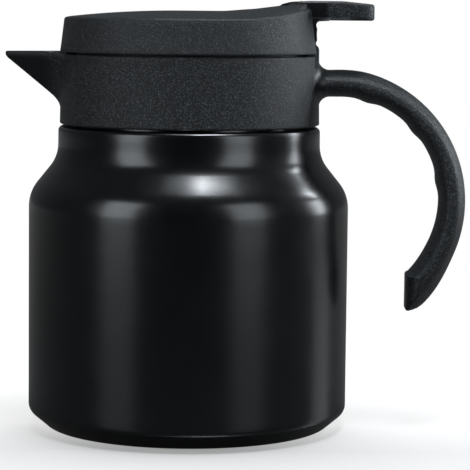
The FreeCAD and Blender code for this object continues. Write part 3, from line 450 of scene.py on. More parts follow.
def make_collar():
    edge = COLLAR_EDGE_ROUND
    rows = []
    for inset, drop in reversed(quarter_turn(ROUND_STEPS)):
        rows.append(around(collar_outside(COLLAR_LOW) - edge * inset, COLLAR_LOW + edge * drop))
    for height in np.linspace(COLLAR_LOW + edge, COLLAR_TOP - edge, COLLAR_ROWS)[1:-1]:
        rows.append(around(collar_outside(height), height))
    for inset, drop in quarter_turn(ROUND_STEPS):
        height = COLLAR_TOP - edge * drop
        rows.append(around(collar_outside(height) - edge * inset, height))
    for inset, drop in reversed(quarter_turn(LIP_STEPS)):
        height = COLLAR_TOP - SOFT_EDGE * drop
        rows.append(around(collar_inside(height) + SOFT_EDGE * inset, height))
    for height in np.linspace(COLLAR_TOP - SOFT_EDGE, DECK_TOP, BORE_ROWS)[1:]:
        rows.append(around(collar_inside(height), height))
    mouth = [
        (MOUTH_OUTER_RADIUS, DECK_TOP, 0),
        (MOUTH_OUTER_RADIUS, MOUTH_TOP, SOFT_EDGE),
        (MOUTH_INNER_RADIUS, MOUTH_TOP, SOFT_EDGE),
        (MOUTH_INNER_RADIUS, LEDGE, 0),
        (MOUTH_RADIUS, LEDGE, 0),
        (MOUTH_RADIUS, DECK_LOW, 0),
        (COLLAR_BORE, DECK_LOW, 0),
        (COLLAR_BORE, COLLAR_LOW, 0),
    ]
    for reach, height in rounded_path(mouth, False):
        rows.append(around(reach, height))
    rows = np.array(rows)
    raise_lip(rows)
    scoop(rows)
    form = Form()
    form.grid(rows, join_rows=True)
    for side in (-1, 1):
        lug_corners = [
            (HINGE_REACH - BARREL_RADIUS, LUG_FOOT, 0),
            (HINGE_REACH + BARREL_RADIUS, LUG_FOOT, 0),
            (HINGE_REACH + BARREL_RADIUS, HINGE_HEIGHT + BARREL_RADIUS, BARREL_RADIUS),
            (HINGE_REACH - BARREL_RADIUS, HINGE_HEIGHT + BARREL_RADIUS, BARREL_RADIUS),
        ]
        low, high = sorted((side * LUG_INNER, side * LUG_OUTER))
        form.prism(rounded_path(lug_corners, True), low, high, SOFT_EDGE)
    form.block(BOSS_LOW, BOSS_HIGH, SOFT_EDGE)
    return form.make("spout_collar", "collar", "flask")


def raise_lip(rows):
    """Lifts the spout's rim a little above the seam outside the lid."""
    reach = np.hypot(rows[..., 0], rows[..., 1])
    outside = eased((reach - LIP_START) / LIP_RUN)
    near_rim = eased((rows[..., 2] - SPOUT_EDGE + LIP_RISE) / (COLLAR_TOP - SPOUT_EDGE))
    rows[..., 2] += LIP_RISE * outside * near_rim


def scoop(rows):
    """Hollows the rim under the hinge knuckle."""
    away = rows[..., 0] - HINGE_REACH
    inside = (np.abs(rows[..., 1]) < LUG_INNER) & (np.abs(away) < RELIEF_RADIUS)
    floor = HINGE_HEIGHT - np.sqrt(np.maximum(RELIEF_RADIUS ** 2 - away ** 2, 0))
    top = rows[..., 2]
    rows[..., 2] = np.where(inside & (top > COLLAR_TOP - BARREL_RADIUS), np.minimum(top, floor), top)


# Lid

def along(path, across):
    """Height of a path of (across, up) points at given places."""
    return np.interp(across, path[:, 0], path[:, 1])


LEVER_TOP_PATH = rounded_path(LEVER_TOP_CORNERS, False)
RAMP_PATH = rounded_path(RAMP_CORNERS, False)
CROWN_CORNERS = (
    (0, LID_CROWN_TOP, 0), (LID_CROWN_BEND, LID_CROWN_TOP, LID_CROWN_ROUND), (LID_RIM_RADIUS, LID_RIM, 0))
CROWN_PATH = rounded_path(CROWN_CORNERS, False)


def lid_top(x, y):
    """Height of the lid's top: a low crown that sweeps up towards the thumb tab."""
    half_width = np.sqrt(np.maximum(LID_RIM_RADIUS ** 2 - np.maximum(x, 0) ** 2, LEAST_WIDTH))
    across = np.hypot(np.minimum(x, 0), y) * LID_RIM_RADIUS / half_width
    crown = along(CROWN_PATH, across)
    swell = CROWN_SWELL * eased((x - CROWN_SWELL_START) / CROWN_SWELL_RUN)
    share = (crown - LID_RIM) / (LID_CROWN_TOP - LID_RIM)
    return crown + swell * share + along(RAMP_PATH, x)


def lid_reach(height):
    return between(LID_LOW_RADIUS, LID_RIM_RADIUS, (height - LID_LOW) / (LID_RIM - LID_LOW))


def lid_rim_line():
    """Places around the lid's side, with the hinge notch cut straight across at the rear."""
    notch = math.asin(NOTCH_HALF_WIDTH / LID_LOW_RADIUS)
    turns = np.linspace(notch, 2 * math.pi - notch, RIM_COLUMNS)
    inner = np.linspace(-NOTCH_HALF_WIDTH, NOTCH_HALF_WIDTH, NOTCH_COLUMNS)
    ring = np.stack([np.cos(turns), np.sin(turns)], axis=1)
    step = np.stack([np.full(NOTCH_COLUMNS, NOTCH_REACH), inner], axis=1) / LID_LOW_RADIUS
    return np.concatenate([ring, step])


def make_lid_cover():
    line = lid_rim_line()
    circle = line / np.linalg.norm(line, axis=1)[:, None]
    edge = LID_RIM_ROUND

    def ring(reach, height):
        flat = line * np.broadcast_to(reach, len(line))[:, None]
        return np.column_stack([flat, np.broadcast_to(height, len(line))])

    rim_flat = line * LID_RIM_RADIUS
    rim = lid_top(rim_flat[:, 0], rim_flat[:, 1])
    rows = []
    for inset, drop in reversed(quarter_turn(SOFT_STEPS)):
        rows.append(ring(LID_LOW_RADIUS - SOFT_EDGE * inset, LID_LOW + SOFT_EDGE * drop))
    for share in np.linspace(0, 1, LID_SIDE_ROWS)[1:-1]:
        height = between(LID_LOW + SOFT_EDGE, rim - edge, share)
        rows.append(ring(lid_reach(height), height))
    for inset, drop in quarter_turn(RIM_STEPS):
        height = rim - edge * drop
        rows.append(ring(lid_reach(height) - edge * inset, height))
    for share in np.linspace(1, 0, LID_TOP_ROWS)[1:]:
        flat = between(circle, line, share) * (LID_RIM_RADIUS - edge) * share
        top = lid_top(flat[:, 0], flat[:, 1])
        rows.append(np.column_stack([flat, under_lever(flat[:, 0], flat[:, 1], top)]))
    inner = [
        (0, LID_ROOF, 0),
        (LID_RIM_RADIUS - LID_WALL, LID_ROOF, LID_INNER_ROUND),
        (LID_LOW_RADIUS - LID_WALL, LID_LOW, 0),
    ]
    for reach, height in rounded_path(inner, False):
        rows.append(ring(reach, height))
    form = Form()
    form.grid(rows, join_rows=True)
    return form.make("domed_lid", "lid_cover", "lid")


def under_lever(x, y, top):
    """Sinks the lid where the thumb tab lies in its seat."""
    inside = np.minimum(LEVER_HALF_WIDTH - np.abs(y), x - SEAT_FRONT)
    sink = eased((inside - SEAT_MARGIN) / SEAT_RUN)
    return between(top, np.minimum(top, LEVER_SEAT - SOFT_EDGE), sink)


def plan_outline():
    """The thumb tab from above, with rounded corners."""
    half = LEVER_HALF_WIDTH
    corners = [
        (LEVER_NOSE, -half, LEVER_NOSE_ROUND),
        (LEVER_END, -half, LEVER_END_ROUND),
        (LEVER_END, half, LEVER_END_ROUND),
        (LEVER_NOSE, half, LEVER_NOSE_ROUND),
    ]
    return rounded_path(corners, True, FINE_STEP)


def make_thumb_lever():
    outer = plan_outline()
    count = len(outer)
    edge = LEVER_EDGE_ROUND
    spine_x = np.clip(outer[:, 0], LEVER_NOSE + LEVER_NOSE_ROUND, LEVER_END - LEVER_NOSE_ROUND)
    spine = np.column_stack([spine_x, np.zeros(count)])
    toward = spine - outer
    toward /= np.maximum(np.linalg.norm(toward, axis=1), LEAST_WIDTH)[:, None]

    def bottom(x):
        return between(LEVER_SEAT, LEVER_UNDER, eased(x - NOTCH_REACH))

    rows = []
    for share in np.linspace(1, 0, LEVER_UNDER_ROWS)[:-1]:
        flat = between(outer + toward * edge, spine, share)
        rows.append(np.column_stack([flat, bottom(flat[:, 0])]))
    for inset, drop in reversed(quarter_turn(ROUND_STEPS)):
        flat = outer + toward * edge * inset
        rows.append(np.column_stack([flat, bottom(flat[:, 0]) + edge * drop]))
    for inset, drop in quarter_turn(RIM_STEPS):
        flat = outer + toward * edge * inset
        rows.append(np.column_stack([flat, along(LEVER_TOP_PATH, flat[:, 0]) - edge * drop]))
    for share in np.linspace(0, 1, LEVER_TOP_ROWS)[1:]:
        flat = between(outer + toward * edge, spine, share)
        rows.append(np.column_stack([flat, along(LEVER_TOP_PATH, flat[:, 0])]))
    form = Form()
    form.grid(rows)
    form.prism(rounded_path(APRON_CORNERS, True), -LEVER_HALF_WIDTH, LEVER_HALF_WIDTH, SOFT_EDGE)
    turns = np.linspace(0, 2 * math.pi, BARREL_COLUMNS, endpoint=False)
    barrel = np.column_stack([
        HINGE_REACH + BARREL_RADIUS * np.cos(turns), HINGE_HEIGHT + BARREL_RADIUS * np.sin(turns)])
    form.prism(barrel, -KNUCKLE_HALF_WIDTH, KNUCKLE_HALF_WIDTH, SOFT_EDGE)
    form.block(WEB_LOW, WEB_HIGH, SOFT_EDGE)
    return form.make("thumb_tab", "thumb_lever", "lid")


# Handle

def section_shares():
    """Shares of half width and half depth around the handle's lens-shaped section."""
    side = SECTION_SIDE
    edge = SECTION_EDGE
    depth = GRIP_HALF_DEPTH / HANDLE_HALF_WIDTH
    face_round = (side ** 2 + (depth * (1 - edge)) ** 2) / (2 * depth * (1 - edge))
    side_round = ((1 - side) ** 2 + (depth * edge) ** 2) / (2 * (1 - side))
    face_half = math.asin(side / face_round)
    side_half = math.asin(depth * edge / side_round)
    shares = []
    for turn in np.linspace(-face_half, face_half, FACE_COLUMNS)[:-1]:
        shares.append((face_round * math.sin(turn), (depth - face_round * (1 - math.cos(turn))) / depth))
    for turn in np.linspace(side_half, -side_half, SIDE_COLUMNS)[:-1]:
        shares.append((1 - side_round * (1 - math.cos(turn)), side_round * math.sin(turn) / depth))
    half = np.array(shares)
    return np.concatenate([half, -half])


SECTION = section_shares()


def grip_half_depth(angle):
    """Half the handle's thickness: root, then grip, then the heavier tip."""
    root_share = np.clip((angle - GRIP_ANGLE) / (ROOT_ANGLE - GRIP_ANGLE), 0, 1)
    tip_share = np.clip((GRIP_ANGLE - angle) / (GRIP_ANGLE - TIP_ANGLE), 0, None)
    root = (ROOT_HALF_DEPTH - GRIP_HALF_DEPTH) * root_share ** 2
    return GRIP_HALF_DEPTH + root + (TIP_HALF_DEPTH - GRIP_HALF_DEPTH) * tip_share ** 2


def ridge_height(angle):
    """Shallow ridges between the fingers on the inner side."""
    phase = (FIRST_RIDGE_ANGLE - angle) / RIDGE_PITCH
    wave = ((1 + np.cos(2 * math.pi * phase)) / 2) ** RIDGE_SHARPNESS
    return np.where((phase < -HALF_PITCH) | (phase > RIDGES - HALF_PITCH), 0, FINGER_RIDGE * wave)


def arm_reach(angle):
    """Distance of each point of a section from the centre that the handle curves around."""
    share = SECTION[:, 1]
    bulge = eased((BULGE_START_ANGLE - angle) / BULGE_RUN)
    swell = OUTER_SWELL * eased((SWELL_START_ANGLE - angle) / SWELL_RUN)
    outer = grip_half_depth(angle) + swell + TIP_BULGE * bulge
    inner = grip_half_depth(angle) + ridge_height(angle) - TIP_THINNING * bulge
    return HANDLE_RADIUS + share * np.where(share < 0, inner, outer)


def arm_points(angle):
    """Points of one section, where each may have an angle of its own."""
    reach = arm_reach(angle)
    turn = np.radians(angle)
    height = HANDLE_HEIGHT + reach * np.sin(turn)
    return np.column_stack([
        HANDLE_REACH + reach * np.cos(turn), SECTION[:, 0] * HANDLE_HALF_WIDTH,
        smooth_max(height, TIP_LOW, TIP_LOW_BLEND)])


def collar_face(width, height):
    """X of the collar's rear face."""
    radius = between(COLLAR_LOW_RADIUS, COLLAR_TOP_RADIUS, (height - COLLAR_LOW) / (COLLAR_TOP - COLLAR_LOW))
    return np.sqrt(np.maximum(radius ** 2 - width ** 2, 0))


def root_points(away):
    """A section of the root at a distance from the collar, spreading in a hollow rounding."""
    left = np.clip(FLARE_ROUND - away, 0, FLARE_ROUND)
    flare = FLARE_ROUND - math.sqrt(FLARE_ROUND ** 2 - left ** 2)
    width = SECTION[:, 0] * HANDLE_HALF_WIDTH
    height = SECTION[:, 1] * ROOT_HALF_DEPTH
    outward = np.column_stack([SECTION[:, 0] ** 3, SECTION[:, 1]])
    outward /= np.linalg.norm(outward, axis=1)[:, None]
    width = width + outward[:, 0] * flare
    height = height + outward[:, 1] * flare + HANDLE_LEVEL
    face = collar_face(width, height)
    level = between(face, COLLAR_TOP_RADIUS, eased(away / (HANDLE_REACH - COLLAR_TOP_RADIUS)))
    return np.column_stack([level + away, width, height])


def tip_face(width):
    """X of the hook's end face, rounded in plan."""
    beyond = np.maximum(np.abs(width) - TIP_FLAT_HALF_WIDTH, 0)
    return TIP_REACH + TIP_ROUND - np.sqrt(TIP_ROUND ** 2 - beyond ** 2)


def tip_angles(margin):
    """For each point of the section, the angle at which it meets the end face."""
    width = SECTION[:, 0] * HANDLE_HALF_WIDTH
    goal = tip_face(width) + margin - HANDLE_REACH
    angle = np.full(len(SECTION), TIP_ANGLE)
    for _ in range(TIP_ROUNDS):
        angle = -np.degrees(np.arccos(goal / arm_reach(angle)))
    return angle


def make_handle():
    rows = [root_points(-FLARE_SINK)]
    for share in FLARE_SHARES:
        rows.append(root_points(FLARE_ROUND * share))
    start_angles = np.full(len(SECTION), TIP_START_ANGLE)
    for angle in np.arange(ROOT_ANGLE, TIP_START_ANGLE, -ARM_STEP):
        rows.append(arm_points(np.full(len(SECTION), angle)))
    end_angles = tip_angles(TIP_EDGE_ROUND)
    for share in np.linspace(0, 1, TIP_ROWS):
        rows.append(arm_points(between(start_angles, end_angles, share)))
    last = rows[-1]
    middle = np.array([0, last[:, 2].mean()])
    spokes = last[:, 1:] - middle
    lengths = np.linalg.norm(spokes, axis=1)[:, None]
    for inset, drop in quarter_turn(ROUND_STEPS)[1:]:
        flat = last[:, 1:] - spokes / lengths * TIP_EDGE_ROUND * inset
        rows.append(np.column_stack([tip_face(flat[:, 0]) + TIP_EDGE_ROUND * drop, flat]))
    flat_edge = rows[-1][:, 1:]
    for share in END_SHARES:
        flat = middle + (flat_edge - middle) * share
        rows.append(np.column_stack([tip_face(flat[:, 0]), flat]))
    form = Form()
    form.grid(rows)
    add_root_plate(form)
    return form.make("hook_handle", "handle", "flask")


def add_root_plate(form):
    """The plate at the handle's root, an arch that lies in the collar's rear face."""
    side = rounded_path(PLATE_CORNERS, False, FINE_STEP)
    arch = np.concatenate([side, side[-2::-1] * (-1, 1)])
    arch[:, 1] = np.maximum(arch[:, 1], COLLAR_LOW + SOFT_EDGE)
    edge = PLATE_EDGE_ROUND
    rows = [plate_ring(arch, 1, -PLATE_SINK)]
    for inset, drop in quarter_turn(SOFT_STEPS):
        rows.append(plate_ring(arch, 1 - edge * inset / NOTCH_HALF_WIDTH, PLATE_RISE - edge * drop))
    for share in np.linspace(1, 0, PLATE_ROWS)[1:]:
        rows.append(plate_ring(arch, share, PLATE_RISE))
    form.grid(rows, join_columns=False)


def plate_ring(arch, share, rise):
    width = arch[:, 0] * share
    height = arch[:, 1]
    return np.column_stack([collar_face(width, height) + rise, width, height])


# Finishes: ranges are of noise or of bends, depths and places in metres, colours linear

NOISE_RANGE = (0.3, 0.7)
MOTTLE_RANGE = (0.35, 0.65)
SPECK_RANGE = (0.51, 0.66)
# Range of bends over which edges are lightened, partly as wear and partly as a painted highlight
EDGE_WEAR_AND_HIGHLIGHT_RANGE = (0.53, 0.62)
PAINT_DARK = (0.0016, 0.0018, 0.0021)
PAINT_LIGHT = (0.0026, 0.0029, 0.0033)
PAINT_ROUGH = (0.21, 0.25)
PEEL_DEPTH = 0.00002
FINE_DEPTH = 0.000006
GRAIN_DEPTH = 0.00024
BROAD_DEPTH = 0.00003
BRUSH_DEPTH = 0.00002
SOFT_DEPTH = 0.00008
BRUSH_SCALE = (60.0, 60.0, 5200.0)
BLACK_PLASTIC = (0.002, 0.003, 0.004)
GRAIN_GLOSS = 0.32
# Lighter colour along edges: partly wear, partly a painted highlight on the rims
EDGE_WEAR_AND_HIGHLIGHT_COLOUR = (0.09, 0.095, 0.10)
PLAIN_NOWHERE = (1.0, 2.0)
PLAIN_SPOUT = (-0.049, -0.053)
PLAIN_ROOT = (0.0500, 0.0485)
PLAIN_SHARE = 0.15
FIRST_COLOUR = 6
SECOND_COLOUR = 7
MIXED_COLOUR = 2


def ramp(nodes, links, value, start, end, low, high, kind="LINEAR"):
    """Runs from low to high while a value runs from start to end."""
    node = nodes.new("ShaderNodeMapRange")
    node.interpolation_type = kind
    limits = {"From Min": start, "From Max": end, "To Min": low, "To Max": high}
    for name, number in limits.items():
        node.inputs[name].default_value = number
    links.new(value, node.inputs["Value"])
    return node.outputs["Result"]


class Tree:
    """A node tree with short ways to add the nodes that the finishes use."""

    def __init__(self, name):
        self.material = bpy.data.materials.new(name)
        self.material.use_nodes = True
        self.nodes = self.material.node_tree.nodes
        self.links = self.material.node_tree.links
        self.shader = self.nodes["Principled BSDF"]
        self.place = self.add("ShaderNodeTexCoord").outputs["Object"]

    def add(self, kind):
        return self.nodes.new(kind)

    def link(self, source, target):
        self.links.new(source, target)

    def stretched(self, scale):
        node = self.add("ShaderNodeMapping")
        node.inputs["Scale"].default_value = scale
        self.link(self.place, node.inputs["Vector"])
        return node.outputs["Vector"]

    def noise(self, scale, detail=2.0, rough=0.5, place=None):
        node = self.add("ShaderNodeTexNoise")
        node.inputs["Scale"].default_value = scale
        node.inputs["Detail"].default_value = detail
        node.inputs["Roughness"].default_value = rough
        self.link(place or self.place, node.inputs["Vector"])
        return node.outputs["Fac"]

    def spread(self, value, start, end, low, high):
        return ramp(self.nodes, self.links, value, start, end, low, high)

    def blend(self, share, first, second):
        node = self.add("ShaderNodeMix")
        node.data_type = "RGBA"
        self.link(share, node.inputs["Factor"])
        for number, colour in ((FIRST_COLOUR, first), (SECOND_COLOUR, second)):
            if isinstance(colour, tuple):
                node.inputs[number].default_value = (*colour, 1.0)
            else:
                self.link(colour, node.inputs[number])
        return node.outputs[MIXED_COLOUR]

    def bump(self, height, strength, distance, under=None):
        node = self.add("ShaderNodeBump")
        if isinstance(strength, float):
            node.inputs["Strength"].default_value = strength
        else:
            self.link(strength, node.inputs["Strength"])
        node.inputs["Distance"].default_value = distance
        self.link(height, node.inputs["Height"])
        if under:
            self.link(under, node.inputs["Normal"])
        return node.outputs["Normal"]

    def along(self):
        """Distance along the object, from the spout towards the handle."""
        node = self.add("ShaderNodeSeparateXYZ")
        self.link(self.place, node.inputs[0])
        return node.outputs["X"]

    def worn_and_highlighted_edges(self):
        """How strongly the surface bends outwards, from 0 on flats to 1 on edges, where the colour is
        lightened partly as wear and partly as a painted highlight.
        """
        bends = self.add("ShaderNodeNewGeometry").outputs["Pointiness"]
        return self.spread(bends, *EDGE_WEAR_AND_HIGHLIGHT_RANGE, 0, 1)

    def finish(self, colour, rough, normal, metallic=0.0, specular=0.5):
        self.link(colour, self.shader.inputs["Base Color"])
        self.link(rough, self.shader.inputs["Roughness"])
        self.link(normal, self.shader.inputs["Normal"])
        self.shader.inputs["Metallic"].default_value = metallic
        self.shader.inputs["Specular IOR Level"].default_value = specular
        return self.material


def paint():
    tree = Tree("satin_black_paint")
    mottle = tree.spread(tree.noise(scale=60.0, detail=3.0), *MOTTLE_RANGE, 0, 1)
    colour = tree.blend(mottle, PAINT_DARK, PAINT_LIGHT)
    rough = tree.spread(tree.noise(scale=140.0, detail=4.0, rough=0.6), *NOISE_RANGE, *PAINT_ROUGH)
    peel = tree.bump(tree.noise(scale=700.0), strength=0.10, distance=PEEL_DEPTH)
    fine = tree.bump(tree.noise(scale=5200.0, detail=1.0), strength=0.12, distance=FINE_DEPTH, under=peel)
    return tree.finish(colour, rough, fine)


def grained_plastic(name, dark, light, rough, strength, scale, plain=PLAIN_NOWHERE):
    """Moulded plastic with a fine grain, which fades out over a stretch of the object's length, and edges
    lightened partly as wear and partly as a painted highlight.
    """
    tree = Tree(name)
    grain = tree.noise(scale, detail=3.0, rough=0.75)
    plainness = tree.spread(tree.along(), *plain, 0, 1)
    specks = tree.blend(tree.spread(grain, *SPECK_RANGE, 0, 1), dark, light)
    colour = tree.blend(plainness, specks, dark)
    # Edges lightened partly as wear and partly as a painted highlight
    edge_worn_and_highlighted = tree.blend(tree.worn_and_highlighted_edges(), colour, EDGE_WEAR_AND_HIGHLIGHT_COLOUR)
    roughness = tree.spread(tree.noise(scale / 3, detail=3.0, rough=0.6), *NOISE_RANGE, *rough)
    broad = tree.bump(tree.noise(scale=180.0), strength=0.1, distance=BROAD_DEPTH)
    relief = tree.spread(plainness, 0, 1, strength, strength * PLAIN_SHARE)
    normal = tree.bump(grain, relief, GRAIN_DEPTH, broad)
    return tree.finish(edge_worn_and_highlighted, roughness, normal, specular=GRAIN_GLOSS)


def brushed_steel(name, dark, light, rough):
    tree = Tree(name)
    lines = tree.noise(scale=1.0, detail=3.0, rough=0.6, place=tree.stretched(BRUSH_SCALE))
    colour = tree.blend(lines, dark, light)
    roughness = tree.spread(lines, *NOISE_RANGE, *rough)
    normal = tree.bump(lines, strength=0.15, distance=BRUSH_DEPTH)
    return tree.finish(colour, roughness, normal, metallic=1.0)


def soft_material(name, dark, light, rough, strength, scale):
    tree = Tree(name)
    grain = tree.noise(scale, detail=4.0, rough=0.6)
    colour = tree.blend(grain, dark, light)
    roughness = tree.spread(grain, *NOISE_RANGE, *rough)
    normal = tree.bump(grain, strength, SOFT_DEPTH)
    return tree.finish(colour, roughness, normal)


FINISHES = {
    "shell_paint": paint(),
    "head_plastic": grained_plastic(
        "grained_head_plastic", dark=BLACK_PLASTIC, light=(0.066, 0.070, 0.073),
        rough=(0.40, 0.52), strength=1.0, scale=1850.0, plain=PLAIN_SPOUT),
    "lid_plastic": grained_plastic(
        "grained_lid_plastic", dark=(0.008, 0.009, 0.010), light=(0.048, 0.051, 0.054),
        rough=(0.38, 0.50), strength=1.0, scale=1850.0),
    "grip_plastic": grained_plastic(
        "grained_grip_plastic", dark=BLACK_PLASTIC, light=(0.070, 0.075, 0.079),
        rough=(0.32, 0.42), strength=1.0, scale=1850.0, plain=PLAIN_ROOT),
    "bare_steel": brushed_steel(
        "brushed_steel", dark=(0.42, 0.42, 0.41), light=(0.62, 0.62, 0.61), rough=(0.24, 0.38)),
    "inner_plastic": grained_plastic(
        "grained_inner_plastic", dark=(0.020, 0.021, 0.022), light=(0.046, 0.047, 0.048),
        rough=(0.40, 0.52), strength=0.35, scale=3200.0),
    "seal_silicone": soft_material(
        "seal_silicone", dark=(0.46, 0.46, 0.44), light=(0.58, 0.58, 0.56),
        rough=(0.5, 0.65), strength=0.2, scale=900.0),
    "base_rubber": soft_material(
        "base_rubber", dark=(0.016, 0.016, 0.017), light=(0.032, 0.032, 0.033),
        rough=(0.7, 0.85), strength=0.5, scale=1500.0),
    "lid_foam": soft_material(
        "lid_foam", dark=(0.62, 0.60, 0.54), light=(0.80, 0.78, 0.72),
        rough=(0.85, 0.95), strength=0.8, scale=1800.0),
    "getter_metal": brushed_steel(
        "getter_metal", dark=(0.28, 0.27, 0.26), light=(0.42, 0.41, 0.40), rough=(0.4, 0.55)),
}
NODE_FINISHES = {
    "inner_flask": "bare_steel", "base_pan": "bare_steel", "getter_cup": "getter_metal",
    "getter_pellet": "getter_metal", "vacuum_seal": "getter_metal", "base_disc": "bare_steel",
    "base_pad": "base_rubber", "thread_ring": "inner_plastic", "neck_gasket": "seal_silicone",
    "handle_screws": "bare_steel", "hinge_pin": "bare_steel", "strainer_ring": "inner_plastic",
    "strainer_basket": "bare_steel", "lever_screws": "bare_steel", "lid_plug": "inner_plastic",
    "lid_insulation": "lid_foam", "lid_gasket": "seal_silicone",
}


def wear(thing, finish):
    thing.data.materials.clear()
    thing.data.materials.append(FINISHES[finish])


def dress():
    pieces = [
        (make_shell(), "shell_paint"), (make_collar(), "head_plastic"), (make_handle(), "grip_plastic"),
        (make_lid_cover(), "lid_plastic"), (make_thumb_lever(), "grip_plastic")]
    for piece, finish in pieces:
        wear(piece, finish)
    for node, finish in NODE_FINISHES.items():
        wear(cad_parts[node], finish)


# Studio, with lengths in metres

FLOOR_HALF_SIZE = 3.0
FLOOR_SHADOW_REACH = 0.15
FLOOR_WHITE_REACH = 0.30
FLOOR_SHADE = 0.15
# Painted contact shadow on the floor: occlusion reach and range, the glow levels it maps to, and its weaker
# share beside the part
CONTACT_REACH = 0.20
CONTACT_RANGE = (0.45, 0.97)
PAINTED_SHADOW_GLOW = (0.31, 0.82)
SIDE_START = -0.05
SIDE_SHARE = 0.35
SIDE_PAINTED_SHADOW_GLOW = 0.95
UNSEEN_SHADE = 0.04
POLISH_SHADE = 0.08
POLISH_ROUGH = 0.20
FRONT_EDGE = -0.30
REAR_EDGE = 0.50
WEAK_WHITE = (0.01, 0.12)
TABLE_EDGE = 0.88
TABLE_END = 0.94
ROOM_COLOUR = (0.9, 0.95, 1.0, 1.0)
ROOM_LIGHT = 0.25
ROOM_REFLECTION = (0.015, 0.12)
WHITE = (1.0, 1.0, 1.0, 1.0)
AIM = np.array((0.0, 0.0, 0.08))
LAMP_COLOUR = (0.89, 0.95, 1.0)

# Soft boxes: name, turn from the viewer to the right, elevation, distance, width, height, radiance
LAMPS = (
    ("left_box", -49.0, 17.0, 1.1, 0.48, 0.80, 4.3),
    ("right_box", 44.0, 17.0, 1.1, 0.46, 0.80, 3.7),
    ("overhead_box", 44.0, 75.0, 0.9, 0.30, 0.15, 54.0),
    ("overhead_fill_box", -10.0, 77.0, 0.9, 0.24, 0.13, 10.0),
    ("rear_high_box", 117.0, 30.0, 0.9, 0.15, 0.18, 20.0),
    ("rear_low_box", 110.0, 10.0, 0.9, 0.30, 0.36, 10.0),
)


def mixed(nodes, links, share, first, second):
    node = nodes.new("ShaderNodeMixShader")
    links.new(share, node.inputs[0])
    links.new(first, node.inputs[1])
    links.new(second, node.inputs[2])
    return node.outputs[0]


def added(nodes, links, first, second):
    node = nodes.new("ShaderNodeAddShader")
    links.new(first, node.inputs[0])
    links.new(second, node.inputs[1])
    return node.outputs[0]


def mixed_value(nodes, links, share, low, high):
    node = nodes.new("ShaderNodeMix")
    node.data_type = "FLOAT"
    links.new(share, node.inputs["Factor"])
    node.inputs["A"].default_value = low
    links.new(high, node.inputs["B"])
    return node.outputs["Result"]


def polished(nodes, shade, rough):
    node = nodes.new("ShaderNodeBsdfAnisotropic")
    node.inputs["Color"].default_value = (shade, shade, shade, 1.0)
    node.inputs["Roughness"].default_value = rough
    return node.outputs[0]


def matt(nodes, shade):
    node = nodes.new("ShaderNodeBsdfDiffuse")
    node.inputs["Color"].default_value = (shade, shade, shade, 1.0)
    return node.outputs[0]


def glow(nodes):
    node = nodes.new("ShaderNodeEmission")
    node.inputs["Strength"].default_value = 1.0
    return node


def background(nodes, colour, strength=1.0):
    node = nodes.new("ShaderNodeBackground")
    node.inputs["Color"].default_value = colour
    node.inputs["Strength"].default_value = strength
    return node


def depth_of(nodes, links, place):
    """How far back a place or a direction lies."""
    node = nodes.new("ShaderNodeSeparateXYZ")
    links.new(place, node.inputs[0])
    return node.outputs["Y"]


def background_share(nodes, links, weak):
    """White for the camera and a weak share of it for reflections and clear materials."""
    path = nodes.new("ShaderNodeLightPath")
    others = nodes.new("ShaderNodeMath")
    others.operation = "MAXIMUM"
    links.new(path.outputs["Is Glossy Ray"], others.inputs[0])
    links.new(path.outputs["Is Transmission Ray"], others.inputs[1])
    share = nodes.new("ShaderNodeMath")
    share.operation = "MULTIPLY_ADD"
    links.new(others.outputs[0], share.inputs[0])
    links.new(weak, share.inputs[1])
    links.new(path.outputs["Is Camera Ray"], share.inputs[2])
    return share.outputs[0]


def painted_contact_shadow(nodes, links, depth):
    """Glow from the floor itself with a painted contact shadow: darker near the part, and less so beside and
    behind it.
    """
    contact = nodes.new("ShaderNodeAmbientOcclusion")
    contact.inputs["Distance"].default_value = CONTACT_REACH
    shade = ramp(nodes, links, contact.outputs["AO"], *CONTACT_RANGE, *PAINTED_SHADOW_GLOW)
    front = ramp(nodes, links, depth, SIDE_START, 0, 1, SIDE_SHARE)
    light = glow(nodes)
    links.new(mixed_value(nodes, links, front, SIDE_PAINTED_SHADOW_GLOW, shade), light.inputs["Strength"])
    return light.outputs[0]


def floor_finish():
    material = bpy.data.materials.new("pale_floor")
    material.use_nodes = True
    nodes = material.node_tree.nodes
    links = material.node_tree.links
    place = nodes.new("ShaderNodeTexCoord").outputs["Object"]
    length = nodes.new("ShaderNodeVectorMath")
    length.operation = "LENGTH"
    links.new(place, length.inputs[0])
    reach = length.outputs["Value"]
    depth = depth_of(nodes, links, place)
    fade = ramp(nodes, links, reach, FLOOR_SHADOW_REACH, FLOOR_WHITE_REACH, 0, 1, "SMOOTHSTEP")
    # Floor near the part: lamp-lit diffuse plus a glow that carries a painted contact shadow
    lit_with_painted_shadow = added(nodes, links, matt(nodes, FLOOR_SHADE), painted_contact_shadow(nodes, links, depth))
    seen = mixed(nodes, links, fade, lit_with_painted_shadow, glow(nodes).outputs[0])
    table = added(nodes, links, matt(nodes, UNSEEN_SHADE), polished(nodes, POLISH_SHADE, POLISH_ROUGH))
    clear = nodes.new("ShaderNodeBsdfTransparent").outputs[0]
    unseen = mixed(nodes, links, ramp(nodes, links, reach, TABLE_EDGE, TABLE_END, 0, 1), table, clear)
    weak = ramp(nodes, links, depth, FRONT_EDGE, REAR_EDGE, *WEAK_WHITE)
    surface = mixed(nodes, links, background_share(nodes, links, weak), unseen, seen)
    links.new(surface, nodes["Material Output"].inputs["Surface"])
    return material


def make_floor():
    half = FLOOR_HALF_SIZE
    corners = [(-half, -half, 0), (half, -half, 0), (half, half, 0), (-half, half, 0)]
    mesh = bpy.data.meshes.new("floor")
    mesh.from_pydata(corners, [], [(0, 1, 2, 3)])
    floor = bpy.data.objects.new("floor", mesh)
    bpy.context.scene.collection.objects.link(floor)
    mesh.materials.append(floor_finish())


